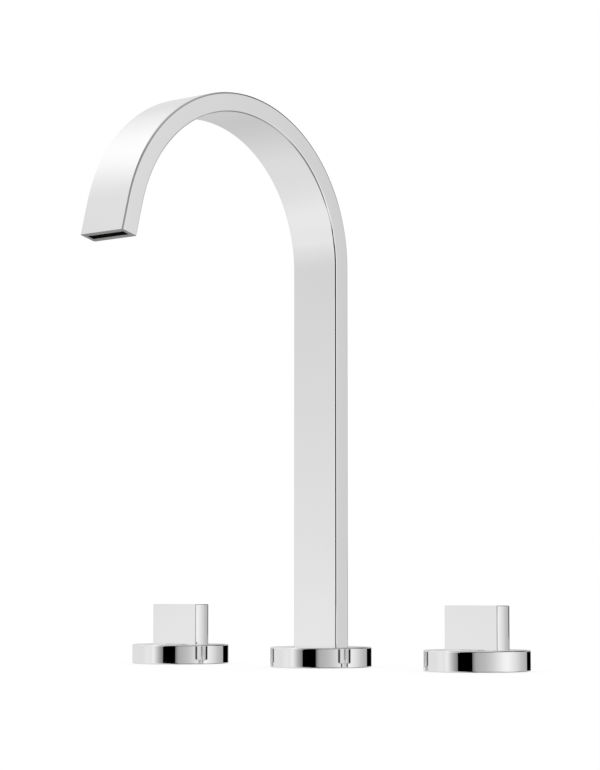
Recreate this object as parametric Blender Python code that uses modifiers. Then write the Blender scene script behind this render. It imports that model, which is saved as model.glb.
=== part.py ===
"""Widespread bathroom faucet: an arched flat-band spout between two blade handles.

Metres, +Z up. The origin lies on the deck, under the middle of the spout's column.
+X runs to the right-hand (cold) handle of someone who stands at the basin, and the
spout reaches over the basin along -Y. Deck and basin are not part of the model: the
flanges stand on the deck, and washers and nuts grip it from below.
"""
import bpy
import bmesh
from math import asin, atan2, cos, pi, radians, sin, sqrt
from mathutils import Vector

mm = 0.001

# Fits
seat_gap = 0.3 * mm           # between two pieces that touch
seal_gap = 0.2 * mm           # round a rubber ring in its groove
overrun = 1.0 * mm            # how far a cutter runs past a face
merge_distance = 0.01 * mm

# Stations
handle_spacing = 101.6 * mm   # spout to handle, half of an 8 inch spread
deck_thickness = 20.0 * mm    # the counter that the nuts are drawn up on

# Spout: a hollow flat band, bent over in an arch
band_width = 29.4 * mm
band_thickness = 9.8 * mm
band_side_wall = 2.5 * mm
band_face_wall = 2.9 * mm
arch_radius = 74.7 * mm       # to the middle of the band
arch_height = 204.9 * mm      # the arch's centre above the deck
arch_angle = radians(165.65)
arch_steps = 36
tip_length = 17.0 * mm        # straight stretch past the arch
foot_floor = 3.0 * mm         # solid foot of the band, above the spigot

# Spigot that plugs the spout into its base
foot_wall = 0.9 * mm          # of the round way, through the band's foot
spigot_wall = 3.8 * mm
spigot_root_step = 0.5 * mm   # the root in the band is this much thinner than it
spigot_length = 22.7 * mm
spigot_ring_shares = (0.43, 0.77)   # from the lock groove down to the spigot's end
lock_groove_width = 3.8 * mm
lock_groove_depth = 0.8 * mm

# Straightener in the outlet
straightener_recess = 3.0 * mm
straightener_setback = 4.0 * mm   # from the end of the arch
straightener_rim = 0.6 * mm
straightener_rib = 0.6 * mm
straightener_cells = 8

# Flanges and gaskets
flange_diameter = 52.0 * mm
flange_height = 10.2 * mm
flange_plate = 2.2 * mm       # thickness of the top
flange_rim = 1.4 * mm         # metal that stands on the deck, outside the gasket
flange_ledge = 1.0 * mm       # step that presses on the gasket
flange_edge = 0.5 * mm
sleeve_wall = 2.4 * mm        # threaded sleeve of a handle's flange
sleeve_drop = 8.0 * mm        # how far the sleeve reaches into the deck's hole
gasket_thickness = 2.0 * mm
gasket_width = 4.5 * mm       # of the ring, inside the metal rim

# Handles
blade_radius = 17.0 * mm      # the blade's ends are arcs about the handle's axis
blade_thickness = 9.8 * mm
blade_height = 21.1 * mm
blade_end_steps = 5
handle_gap = 0.4 * mm         # running gap between blade and flange
tang_width = 5.0 * mm
tang_height = 10.0 * mm
collar_wall = 3.3 * mm
set_screw_diameter = 3.0 * mm
set_screw_key = 1.5 * mm
set_screw_height = 5.0 * mm   # above the blade's lower edge
set_screw_bite = 1.2 * mm     # depth of the screw's pocket in the tang

# Cartridges, from the spindle outwards
spindle_diameter = 9.0 * mm
spline_step = 0.3 * mm
spline_engagement = 5.2 * mm
flow_gap = 3.0 * mm           # water's way round the spindle
housing_wall = 1.7 * mm
shank_wall = 2.5 * mm
shank_headroom = 5.5 * mm     # from the valve's rim up to the flange's plate
retainer_setback = 0.5 * mm
retainer_height = 5.0 * mm
retainer_slot_width = 2.0 * mm
retainer_slot_depth = 1.5 * mm
guide_length = 20.0 * mm
clip_thickness = 0.8 * mm
clip_reach = 1.4 * mm
clip_groove_depth = 1.0 * mm
clip_mouth = 4.0 * mm
ring_section = 1.8 * mm       # the rubber rings' thickness
spindle_ring_depth = 5.0 * mm
seat_seal_thickness = 2.0 * mm
seat_seal_width = 2.2 * mm
disc_thickness = 3.0 * mm
disc_port_diameter = 3.8 * mm
drive_tang_width = 2.4 * mm
drive_tang_length = 8.0 * mm
drive_tang_depth = 1.5 * mm
window_width = 7.0 * mm
window_height = 7.0 * mm

# Valve bodies
valve_spare_thread = 5.9 * mm     # below the deck's nut
annulus_roof = 5.0 * mm
annulus_gap = 2.0 * mm        # water's way round the cartridge
annulus_height = 14.0 * mm
grip_length = 9.0 * mm        # the bore that holds the cartridge's foot
body_wall = 3.5 * mm
seat_floor = 4.0 * mm
inlet_diameter = 20.8 * mm
inlet_length = 16.0 * mm
inlet_bore = 11.0 * mm

# Deck fastenings, the same at all three stations
washer_reach = 10.0 * mm      # beyond the shank
rubber_washer_thickness = 2.0 * mm
steel_washer_thickness = 1.5 * mm
deck_nut_wall = 5.7 * mm
deck_nut_height = 8.0 * mm

# Spout base
head_clearance = 3.6 * mm     # between the base's head and the flange's wall
base_passage = 12.0 * mm
base_spare_thread = 11.9 * mm     # between the deck's nut and the union nut

# Tee under the spout
tee_seal_thickness = 2.0 * mm
tee_collar_height = 3.0 * mm
tee_neck_step = 2.5 * mm
tee_floor = 5.0 * mm
tee_port_length = 12.0 * mm
union_nut_wall = 3.7 * mm
union_nut_grip = 8.0 * mm     # thread on the base's shank
union_nut_lip = 3.0 * mm
union_nut_clearance = 2.0 * mm

# Crossover tubes with compression fittings
valve_port_length = 9.0 * mm
tube_diameter = 10.0 * mm
tube_wall = 1.0 * mm
tube_insert = 6.0 * mm        # depth of the tube's end in its port
tube_lead = 2.0 * mm          # straight tube past the nut
tube_bend_radius = 12.0 * mm
tube_bend_steps = 6
tube_rounding = 2
port_wall = 1.7 * mm
olive_length = 4.0 * mm
port_nut_wall = 2.2 * mm
port_nut_grip = 7.0 * mm
port_nut_lip = 3.4 * mm

# Facets round a turn
flange_steps = 36
round_steps = 24
small_steps = 16
screw_steps = 12
ring_section_steps = 6
hexagon_sides = 6
smooth_angle = radians(35)

# Places and sizes that follow
top_plate_under = flange_height - flange_plate
flange_radius = flange_diameter / 2
gasket_recess_radius = flange_radius - flange_rim
cavity_radius = gasket_recess_radius - flange_ledge
ledge_height = gasket_thickness + seat_gap
gasket_outer_radius = gasket_recess_radius - seat_gap

spindle_radius = spindle_diameter / 2
guide_radius = spindle_radius + seat_gap
chamber_radius = spindle_radius + flow_gap
housing_radius = chamber_radius + housing_wall
valve_bore_radius = housing_radius + seat_gap
shank_radius = valve_bore_radius + shank_wall
thread_radius = shank_radius + seat_gap        # the bore of what goes over a shank
sleeve_radius = thread_radius + sleeve_wall

blade_bottom = flange_height + handle_gap
collar_top = blade_bottom - seat_gap
spline_radius = spindle_radius - spline_step
socket_radius = spline_radius + seat_gap
collar_radius = socket_radius + collar_wall
valve_top = top_plate_under - shank_headroom
collar_bottom = valve_top + retainer_setback
spindle_top = collar_bottom + spline_engagement

retainer_top = valve_top - retainer_setback
retainer_bottom = retainer_top - retainer_height
housing_top = retainer_bottom - seat_gap
clip_bottom = housing_top + seat_gap
clip_radius = spindle_radius + clip_reach

washers_bottom = -(deck_thickness + rubber_washer_thickness + steel_washer_thickness
                   + seat_gap)
deck_nut_top = washers_bottom - seat_gap
deck_nut_bottom = deck_nut_top - deck_nut_height
shoulder_level = deck_nut_bottom - valve_spare_thread
annulus_radius = valve_bore_radius + annulus_gap
body_radius = annulus_radius + body_wall
annulus_top = shoulder_level - annulus_roof
annulus_bottom = annulus_top - annulus_height
port_level = (annulus_top + annulus_bottom) / 2
valve_port_reach = body_radius + valve_port_length
seat_level = annulus_bottom - grip_length
body_bottom = seat_level - seat_floor
inlet_bottom = body_bottom - inlet_length
housing_bottom = seat_level + seat_gap

seat_seal_top = housing_bottom + seat_seal_thickness
fixed_disc_bottom = seat_seal_top + seat_gap
moving_disc_bottom = fixed_disc_bottom + disc_thickness + seat_gap
moving_disc_top = moving_disc_bottom + disc_thickness
spindle_bottom = moving_disc_top + seat_gap
disc_radius = chamber_radius - seat_gap
drive_slot_width = drive_tang_width + 2 * seat_gap

spigot_way_radius = band_thickness / 2 - foot_wall
spigot_radius = spigot_way_radius + spigot_wall
spigot_bore_radius = spigot_radius + seat_gap
head_top = top_plate_under - 2 * seat_gap
band_bottom = head_top + seat_gap
spigot_bottom = band_bottom - spigot_length
spigot_groove_radius = spigot_bore_radius - 2 * seal_gap - ring_section
lock_level = (ledge_height + head_top) / 2
lock_groove_bottom = lock_level - lock_groove_width / 2
lock_groove_radius = spigot_radius - lock_groove_depth
head_radius = cavity_radius - head_clearance
union_nut_top = deck_nut_bottom - base_spare_thread
base_bottom = union_nut_top - union_nut_grip

tee_seal_bottom = base_bottom - seat_gap - tee_seal_thickness
tee_top = tee_seal_bottom - seat_gap
tee_collar_bottom = tee_top - tee_collar_height
union_lip_top = tee_collar_bottom - seat_gap
union_nut_bottom = union_lip_top - union_nut_lip
tee_neck_radius = shank_radius - tee_neck_step
tee_port_reach = shank_radius + tee_port_length

tube_radius = tube_diameter / 2
port_bore_radius = tube_radius + seat_gap
port_radius = port_bore_radius + port_wall
passage_radius = tube_radius - tube_wall
port_nut_flats = 2 * (port_radius + seat_gap + port_nut_wall)
port_nut_corner = port_nut_flats / 2 / cos(pi / hexagon_sides)
tee_port_level = union_nut_bottom - union_nut_clearance - port_nut_corner
tee_bottom = tee_port_level - port_radius - tee_floor

# Finishes: colour, metallic, roughness
finishes = {
    "chrome": ((0.82, 0.82, 0.83), 1.0, 0.04),
    "brass": ((0.72, 0.53, 0.26), 1.0, 0.30),
    "copper": ((0.78, 0.42, 0.28), 1.0, 0.28),
    "steel": ((0.55, 0.55, 0.56), 1.0, 0.32),
    "rubber": ((0.03, 0.03, 0.03), 0.0, 0.75),
    "ceramic": ((0.85, 0.84, 0.80), 0.0, 0.15),
    "plastic": ((0.04, 0.04, 0.045), 0.0, 0.45),
}


def clear_scene():
    for item in list(bpy.data.objects):
        bpy.data.objects.remove(item, do_unlink=True)


def new_collection(name):
    collection = bpy.data.collections.new(name)
    bpy.context.scene.collection.children.link(collection)
    return collection


clear_scene()
parts = new_collection("widespread_faucet")
cutters = new_collection("cutters")


def make_material(name, finish):
    colour, metallic, roughness = finishes[finish]
    material = bpy.data.materials.new(f"{name}_{finish}")
    material.use_nodes = True
    shader = material.node_tree.nodes["Principled BSDF"]
    shader.inputs["Base Color"].default_value = (*colour, 1)
    shader.inputs["Metallic"].default_value = metallic
    shader.inputs["Roughness"].default_value = roughness
    return material


def add(name, mesh, parent, finish=None):
    """Link a mesh as a piece of the faucet, or as a cutter where it has no finish."""
    item = bpy.data.objects.new(name, mesh)
    item.parent = parent
    if finish:
        parts.objects.link(item)
        mesh.materials.append(make_material(name, finish))
    else:
        cutters.objects.link(item)
        item.hide_render = True
        item.display_type = 'WIRE'
    return item


def axis(name, place, parent=None):
    """An empty on an upright axis, which carries the pieces round it."""
    empty = bpy.data.objects.new(name, None)
    empty.empty_display_size = flange_radius
    empty.location = place
    empty.parent = parent
    parts.objects.link(empty)
    return empty


def shade(mesh):
    mesh.shade_smooth()
    mesh.set_sharp_from_angle(angle=smooth_angle)


def turned(name, profile, parent, finish=None, steps=round_steps, closed=True):
    """Turn (radius, height) points about the parent's axis, outer side running down."""
    mesh = bpy.data.meshes.new(name)
    points = [(radius, 0, height) for radius, height in profile]
    edges = [(i, i + 1) for i in range(len(points) - 1)]
    if closed:
        edges.append((len(points) - 1, 0))
    mesh.from_pydata(points, edges, [])
    item = add(name, mesh, parent, finish)
    screw = item.modifiers.new("Turn", 'SCREW')
    screw.steps = steps
    screw.render_steps = steps
    screw.use_merge_vertices = True
    screw.merge_threshold = merge_distance
    screw.use_smooth_shade = True
    return item


def ring(name, inner, outer, bottom, top, parent, finish=None, steps=round_steps):
    """A flat ring of rectangular section."""
    profile = [(outer, top), (outer, bottom), (inner, bottom), (inner, top)]
    return turned(name, profile, parent, finish, steps)


def rubber_ring(name, inner, level, parent):
    """An O-ring whose round section touches the radius inner."""
    section_radius = ring_section / 2
    profile = []
    for i in range(ring_section_steps):
        turn = -2 * pi * i / ring_section_steps
        reach = section_radius * cos(turn)
        profile.append((inner + section_radius + reach, level + section_radius * sin(turn)))
    return turned(name, profile, parent, "rubber", small_steps)


def rod(name, radius, start, end, parent, finish=None, steps=small_steps):
    """A round bar, or a prism of few steps, from start to end."""
    start, end = Vector(start), Vector(end)
    mesh = bpy.data.meshes.new(name)
    shape = bmesh.new()
    bmesh.ops.create_cone(shape, cap_ends=True, segments=steps, radius1=radius,
                          radius2=radius, depth=(end - start).length)
    shape.to_mesh(mesh)
    shape.free()
    shade(mesh)
    item = add(name, mesh, parent, finish)
    item.location = (start + end) / 2
    item.rotation_euler = (end - start).to_track_quat('Z', 'Y').to_euler()
    return item


def hexagon(name, flats, start, end, parent, finish=None):
    radius = flats / 2 / cos(pi / hexagon_sides)
    return rod(name, radius, start, end, parent, finish, hexagon_sides)


def block(name, size, centre, parent, finish=None):
    mesh = bpy.data.meshes.new(name)
    shape = bmesh.new()
    bmesh.ops.create_cube(shape, size=1)
    bmesh.ops.scale(shape, vec=size, verts=shape.verts)
    shape.to_mesh(mesh)
    shape.free()
    item = add(name, mesh, parent, finish)
    item.location = centre
    return item


def use_boolean(item, operation, tools):
    for tool in tools:
        boolean = item.modifiers.new(tool.name, 'BOOLEAN')
        boolean.operation = operation
        boolean.object = tool


def cut(item, *tools):
    use_boolean(item, 'DIFFERENCE', tools)


def join(item, *tools):
    use_boolean(item, 'UNION', tools)


def mesh_from_curve(name, curve, parent, finish=None, rotation=(0, 0, 0)):
    """Make a curve's closed mesh, with its caps welded on."""
    guide = bpy.data.objects.new(name + "_guide", curve)
    parts.objects.link(guide)
    guide.rotation_euler = rotation
    bpy.context.view_layer.update()
    graph = bpy.context.evaluated_depsgraph_get()
    mesh = bpy.data.meshes.new_from_object(guide.evaluated_get(graph))
    mesh.name = name
    shape = bmesh.new()
    shape.from_mesh(mesh)
    bmesh.ops.remove_doubles(shape, verts=shape.verts, dist=merge_distance)
    bmesh.ops.recalc_face_normals(shape, faces=shape.faces)
    shape.to_mesh(mesh)
    shape.free()
    item = add(name, mesh, parent, finish)
    item.rotation_euler = guide.rotation_euler
    bpy.data.objects.remove(guide, do_unlink=True)
    return item


def flat_outline(name, points, half_depth, parent, finish=None, rotation=(0, 0, 0)):
    """Extrude a closed flat outline both ways from its plane."""
    curve = bpy.data.curves.new(name, 'CURVE')
    curve.dimensions = '2D'
    curve.fill_mode = 'BOTH'
    curve.extrude = half_depth
    spline = curve.splines.new('POLY')
    spline.points.add(len(points) - 1)
    for point, (x, y) in zip(spline.points, points):
        point.co = (x, y, 0, 1)
    spline.use_cyclic_u = True
    return mesh_from_curve(name, curve, parent, finish, rotation)


def round_tube(name, points, radius, parent, finish=None):
    """A solid round tube along a list of points."""
    curve = bpy.data.curves.new(name, 'CURVE')
    curve.dimensions = '3D'
    curve.bevel_depth = radius
    curve.bevel_resolution = tube_rounding
    curve.use_fill_caps = True
    spline = curve.splines.new('POLY')
    spline.points.add(len(points) - 1)
    for point, (x, y, z) in zip(spline.points, points):
        point.co = (x, y, z, 1)
    return mesh_from_curve(name, curve, parent, finish)


# Spout

def band_outline(thickness, bottom, tip):
    """Side view of the band, as (reach along -Y, height) points round its edge."""
    half = thickness / 2
    outer = [(-half, bottom)]
    inner = [(half, bottom)]
    for i in range(arch_steps + 1):
        turn = arch_angle * i / arch_steps
        for side, offset in ((outer, half), (inner, -half)):
            radius = arch_radius + offset
            side.append((arch_radius - radius * cos(turn), arch_height + radius * sin(turn)))
    for side in (outer, inner):
        reach, height = side[-1]
        side.append((reach + tip * sin(arch_angle), height + tip * cos(arch_angle)))
    return outer + inner[::-1]


def extruded_band(name, width, thickness, bottom, tip, parent, finish=None):
    """Stand the outline up over the -Y axis and give it its width along X."""
    points = band_outline(thickness, bottom, tip)
    upright = (pi / 2, 0, -pi / 2)
    return flat_outline(name, points, width / 2, parent, finish, upright)


def outlet_point(distance):
    """A point on the middle of the band, a distance back from the outlet."""
    run = tip_length - distance
    reach = arch_radius - arch_radius * cos(arch_angle) + run * sin(arch_angle)
    height = arch_height + arch_radius * sin(arch_angle) + run * cos(arch_angle)
    return Vector((0, -reach, height))


def spigot_ring_levels():
    room = lock_groove_bottom - spigot_bottom
    return [lock_groove_bottom - room * share for share in spigot_ring_shares]


def spigot_profile():
    """The plug under the band, with a groove for the lock screw and two for rings."""
    half_groove = ring_section / 2 + seal_gap
    grooves = [(lock_level, lock_groove_width / 2, lock_groove_radius)]
    for level in spigot_ring_levels():
        grooves.append((level, half_groove, spigot_groove_radius))
    root_radius = band_thickness / 2 - spigot_root_step
    top = band_bottom + overrun
    profile = [(0, top), (root_radius, top), (root_radius, band_bottom),
               (spigot_radius, band_bottom)]
    for level, half, radius in grooves:
        profile.append((spigot_radius, level + half))
        profile.append((radius, level + half))
        profile.append((radius, level - half))
        profile.append((spigot_radius, level - half))
    profile.append((spigot_radius, spigot_bottom))
    profile.append((0, spigot_bottom))
    return profile


def make_spout_tube(parent):
    """The band and its spigot, brazed into one piece, with the water's way inside."""
    tube = extruded_band("spout_tube", band_width, band_thickness, band_bottom,
                         tip_length, parent, "chrome")
    spigot = turned("spigot", spigot_profile(), parent, closed=False)
    way = extruded_band("spout_way", band_width - 2 * band_side_wall,
                        band_thickness - 2 * band_face_wall, band_bottom + foot_floor,
                        tip_length + overrun, parent)
    spigot_way = rod("spigot_way", spigot_way_radius,
                     (0, 0, spigot_bottom - overrun),
                     (0, 0, band_bottom + foot_floor + overrun), parent)
    join(tube, spigot)
    cut(tube, way, spigot_way)


def make_straightener(parent):
    """Comb of cells in the outlet, which makes the flat stream run clear."""
    width = band_width - 2 * band_side_wall - 2 * seat_gap
    thickness = band_thickness - 2 * band_face_wall - 2 * seat_gap
    length = tip_length - straightener_recess - straightener_setback
    middle = outlet_point(straightener_recess + length / 2)
    comb = block("stream_straightener", (width, thickness, length), middle, parent,
                 "plastic")
    cell_room = width - 2 * straightener_rim + straightener_rib
    cell_pitch = cell_room / straightener_cells
    cell_size = (cell_pitch - straightener_rib, thickness - 2 * straightener_rim,
                 length + 2 * overrun)
    cells = block("straightener_cells", cell_size, middle, parent)
    cells.location.x = -cell_pitch * (straightener_cells - 1) / 2
    row = cells.modifiers.new("Row", 'ARRAY')
    row.count = straightener_cells
    row.use_relative_offset = False
    row.use_constant_offset = True
    row.constant_offset_displace = (cell_pitch, 0, 0)
    for item in (comb, cells):
        item.rotation_euler = (arch_angle, 0, 0)
    cut(comb, cells)


def make_spout_base(parent):
    """Head and threaded shank that carry the spout, bored for its spigot."""
    spigot_floor = spigot_bottom - seat_gap
    profile = [
        (head_radius, head_top), (head_radius, ledge_height),
        (shank_radius, ledge_height), (shank_radius, base_bottom),
        (base_passage / 2, base_bottom), (base_passage / 2, spigot_floor),
        (spigot_bore_radius, spigot_floor), (spigot_bore_radius, head_top),
    ]
    base = turned("spout_base", profile, parent, "brass")
    hole = rod("lock_screw_hole", set_screw_diameter / 2 + seat_gap, (0, 0, lock_level),
               (0, head_radius + overrun, lock_level), parent, steps=screw_steps)
    cut(base, hole)


def make_set_screw(name, tip, end, parent):
    """A headless screw from tip to end, with a key socket in its end."""
    tip, end = Vector(tip), Vector(end)
    screw = rod(name, set_screw_diameter / 2, tip, end, parent, "steel", screw_steps)
    outward = (end - tip).normalized()
    depth = (end - tip).length / 2
    socket = hexagon(name + "_key", set_screw_key, end - outward * depth,
                     end + outward * overrun, parent)
    cut(screw, socket)


def make_spout_lock_screw(parent):
    make_set_screw("spout_lock_screw", (0, lock_groove_radius + seat_gap, lock_level),
                   (0, head_radius - seat_gap, lock_level), parent)


def make_spigot_rings(parent):
    for name, level in zip(("upper", "lower"), spigot_ring_levels()):
        rubber_ring(f"spout_{name}_o_ring", spigot_groove_radius + seal_gap, level, parent)


# Flanges and deck fastenings

def rim_profile():
    """Outer side and underside of a flange, down to the gasket's ledge."""
    return [
        (flange_radius - flange_edge, flange_height),
        (flange_radius, flange_height - flange_edge),
        (flange_radius, 0),
        (gasket_recess_radius, 0), (gasket_recess_radius, ledge_height),
        (cavity_radius, ledge_height), (cavity_radius, top_plate_under),
    ]


def make_handle_flange(name, parent):
    """Flange whose sleeve screws onto the valve's shank, with a hole for the collar."""
    hole_radius = collar_radius + seat_gap
    profile = rim_profile() + [
        (sleeve_radius, top_plate_under), (sleeve_radius, -sleeve_drop),
        (thread_radius, -sleeve_drop), (thread_radius, top_plate_under),
        (hole_radius, top_plate_under), (hole_radius, flange_height),
    ]
    turned(name, profile, parent, "chrome", flange_steps)


def make_spout_flange(parent):
    """Flange that slides over the band and covers the spout's base."""
    profile = [(0, flange_height)] + rim_profile() + [(0, top_plate_under)]
    flange = turned("spout_flange", profile, parent, "chrome", flange_steps, closed=False)
    size = (band_width + 2 * seat_gap, band_thickness + 2 * seat_gap,
            flange_plate + 2 * overrun)
    middle = (0, 0, (flange_height + top_plate_under) / 2)
    cut(flange, block("band_hole", size, middle, parent))


def make_gasket(name, parent):
    ring(name, gasket_outer_radius - gasket_width, gasket_outer_radius, 0,
         gasket_thickness, parent, "rubber")


def make_deck_fastening(station, parent):
    """Rubber washer, steel washer and nut, drawn up under the deck."""
    outer = shank_radius + washer_reach
    top = -deck_thickness
    ring(f"{station}_rubber_washer", thread_radius, outer,
         top - rubber_washer_thickness, top, parent, "rubber")
    top -= rubber_washer_thickness + seat_gap
    ring(f"{station}_steel_washer", thread_radius, outer,
         washers_bottom, top, parent, "steel")
    nut = hexagon(f"{station}_deck_nut", 2 * (thread_radius + deck_nut_wall),
                  (0, 0, deck_nut_bottom), (0, 0, deck_nut_top), parent, "brass")
    bore = rod(f"{station}_deck_nut_bore", thread_radius,
               (0, 0, deck_nut_bottom - overrun), (0, 0, deck_nut_top + overrun),
               parent, steps=round_steps)
    cut(nut, bore)


# Handles

def blade_outline():
    """A bar whose ends are arcs about the handle's axis."""
    half = blade_thickness / 2
    sweep = asin(half / blade_radius)
    points = []
    for middle in (0, pi):
        for i in range(blade_end_steps + 1):
            turn = middle - sweep + 2 * sweep * i / blade_end_steps
            points.append((blade_radius * cos(turn), blade_radius * sin(turn)))
    return points


def make_blade(name, parent):
    """Upright blade, with a square hole for the tang and one for its set screw."""
    blade = flat_outline(name, blade_outline(), blade_height / 2, parent, "chrome")
    blade.location.z = blade_bottom + blade_height / 2
    hole_width = tang_width + 2 * seat_gap
    hole_top = collar_top + tang_height + seat_gap
    hole_bottom = blade_bottom - overrun
    hole = block(name + "_tang_hole", (hole_width, hole_width, hole_top - hole_bottom),
                 (0, 0, (hole_top + hole_bottom) / 2), parent)
    level = blade_bottom + set_screw_height
    screw_hole = rod(name + "_screw_hole", set_screw_diameter / 2 + seat_gap,
                     (0, 0, level), (0, blade_thickness / 2 + overrun, level), parent,
                     steps=screw_steps)
    cut(blade, hole, screw_hole)


def make_adapter(name, parent):
    """Round collar that fits the spindle, with a square tang that carries the blade."""
    tang_top = collar_top + tang_height
    socket_top = spindle_top + seat_gap
    profile = [
        (0, collar_top), (collar_radius, collar_top), (collar_radius, collar_bottom),
        (socket_radius, collar_bottom), (socket_radius, socket_top), (0, socket_top),
    ]
    adapter = turned(name, profile, parent, "brass", closed=False)
    tang_root = (collar_top + socket_top) / 2
    tang = block(name + "_tang", (tang_width, tang_width, tang_top - tang_root),
                 (0, 0, (tang_top + tang_root) / 2), parent)
    level = blade_bottom + set_screw_height
    pocket = rod(name + "_pocket", set_screw_diameter / 2 + seat_gap,
                 (0, tang_width / 2 - set_screw_bite, level),
                 (0, tang_width / 2 + overrun, level), parent, steps=screw_steps)
    join(adapter, tang)
    cut(adapter, pocket)


def make_handle_screw(name, parent):
    level = blade_bottom + set_screw_height
    tip = tang_width / 2 - set_screw_bite + seat_gap
    make_set_screw(name, (0, tip, level), (0, blade_thickness / 2 - seat_gap, level), parent)


# Cartridges

def make_spindle(name, parent):
    """Spindle with its spline, clip groove, ring groove and driving tang."""
    clip_groove_radius = spindle_radius - clip_groove_depth
    clip_groove_top = clip_bottom + clip_thickness + seal_gap
    clip_groove_bottom = clip_bottom - seal_gap
    ring_groove_radius = guide_radius - 2 * seal_gap - ring_section
    half_groove = ring_section / 2 + seal_gap
    ring_level = housing_top - spindle_ring_depth
    profile = [
        (0, spindle_top), (spline_radius, spindle_top), (spline_radius, collar_bottom),
        (spindle_radius, collar_bottom - spline_step),
        (spindle_radius, clip_groove_top), (clip_groove_radius, clip_groove_top),
        (clip_groove_radius, clip_groove_bottom), (spindle_radius, clip_groove_bottom),
        (spindle_radius, ring_level + half_groove),
        (ring_groove_radius, ring_level + half_groove),
        (ring_groove_radius, ring_level - half_groove),
        (spindle_radius, ring_level - half_groove),
        (spindle_radius, spindle_bottom), (0, spindle_bottom),
    ]
    spindle = turned(name, profile, parent, "brass", small_steps, closed=False)
    tang_bottom = spindle_bottom - drive_tang_depth
    tang_top = spindle_bottom + overrun
    tang = block(name + "_drive", (drive_tang_width, drive_tang_length, tang_top - tang_bottom),
                 (0, 0, (tang_top + tang_bottom) / 2), parent)
    join(spindle, tang)


def make_spindle_ring(name, parent):
    groove_radius = guide_radius - 2 * seal_gap - ring_section
    rubber_ring(name, groove_radius + seal_gap, housing_top - spindle_ring_depth, parent)


def make_clip(name, parent):
    """Open spring clip that holds the spindle up in its housing."""
    inner = spindle_radius - clip_groove_depth + seat_gap
    clip = ring(name, inner, clip_radius, clip_bottom, clip_bottom + clip_thickness,
                parent, "steel", small_steps)
    mouth = block(name + "_mouth", (clip_mouth, clip_radius, clip_thickness + 2 * overrun),
                  (0, clip_radius / 2 + seat_gap, clip_bottom + clip_thickness / 2), parent)
    cut(clip, mouth)


def make_disc(name, bottom, ports_along, parent):
    """Ceramic disc with two round ports on the line ports_along."""
    disc = rod(name, disc_radius, (0, 0, bottom), (0, 0, bottom + disc_thickness),
               parent, "ceramic", round_steps)
    offset = Vector(ports_along) * (drive_slot_width / 2 + disc_radius) / 2
    rise = Vector((0, 0, disc_thickness + 2 * overrun))
    for port_name, side in (("near", -1), ("far", 1)):
        foot = offset * side + Vector((0, 0, bottom - overrun))
        port = rod(f"{name}_{port_name}_port", disc_port_diameter / 2, foot, foot + rise,
                   parent, steps=screw_steps)
        cut(disc, port)
    return disc


def make_moving_disc(name, parent):
    """Disc that the spindle's tang turns by a slot in its upper face."""
    disc = make_disc(name, moving_disc_bottom, (1, 0, 0), parent)
    slot_bottom = spindle_bottom - drive_tang_depth - seat_gap
    slot_top = moving_disc_top + overrun
    slot = block(name + "_slot", (drive_slot_width, drive_tang_length + 2 * seat_gap,
                                  slot_top - slot_bottom),
                 (0, 0, (slot_top + slot_bottom) / 2), parent)
    cut(disc, slot)


def make_housing(name, parent):
    """Cartridge housing: a guide for the spindle over a chamber with side windows."""
    guide_bottom = housing_top - guide_length
    profile = [
        (housing_radius, housing_top), (housing_radius, housing_bottom),
        (chamber_radius, housing_bottom), (chamber_radius, guide_bottom),
        (guide_radius, guide_bottom), (guide_radius, housing_top),
    ]
    housing = turned(name, profile, parent, "brass")
    window = block(name + "_windows",
                   (window_width, 2 * housing_radius + 2 * overrun, window_height),
                   (0, 0, port_level), parent)
    cut(housing, window)


def make_retainer(name, parent):
    """Slotted ring nut that holds the cartridge down in the valve body."""
    inner = clip_radius + seat_gap
    nut = ring(name, inner, housing_radius, retainer_bottom, retainer_top, parent, "brass")
    slot = block(name + "_slot",
                 (2 * housing_radius + 2 * overrun, retainer_slot_width,
                  2 * retainer_slot_depth), (0, 0, retainer_top), parent)
    cut(nut, slot)


# Valve bodies, tee and crossover tubes

def make_valve_body(name, side, parent):
    """Body with its threaded shank, an inlet below and a port towards the spout."""
    outer = [
        (0, valve_top), (shank_radius, valve_top), (shank_radius, shoulder_level),
        (body_radius, shoulder_level), (body_radius, body_bottom),
        (inlet_diameter / 2, body_bottom), (inlet_diameter / 2, inlet_bottom),
        (0, inlet_bottom),
    ]
    inside = [
        (0, valve_top + overrun), (valve_bore_radius, valve_top + overrun),
        (valve_bore_radius, annulus_top), (annulus_radius, annulus_top),
        (annulus_radius, annulus_bottom), (valve_bore_radius, annulus_bottom),
        (valve_bore_radius, seat_level), (inlet_bore / 2, seat_level),
        (inlet_bore / 2, inlet_bottom - overrun), (0, inlet_bottom - overrun),
    ]
    body = turned(name, outer, parent, "brass", closed=False)
    inward = Vector((-side, 0, 0))
    level = Vector((0, 0, port_level))
    mouth = inward * valve_port_reach + level
    boss = rod(name + "_boss", port_radius, level, mouth, parent)
    bore = turned(name + "_bore", inside, parent, closed=False)
    passage = rod(name + "_passage", passage_radius, level, mouth + inward * overrun, parent)
    socket_depth = tube_insert + seat_gap
    socket = rod(name + "_socket", port_bore_radius, mouth - inward * socket_depth,
                 mouth + inward * overrun, parent)
    join(body, boss)
    cut(body, bore, passage, socket)


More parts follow.
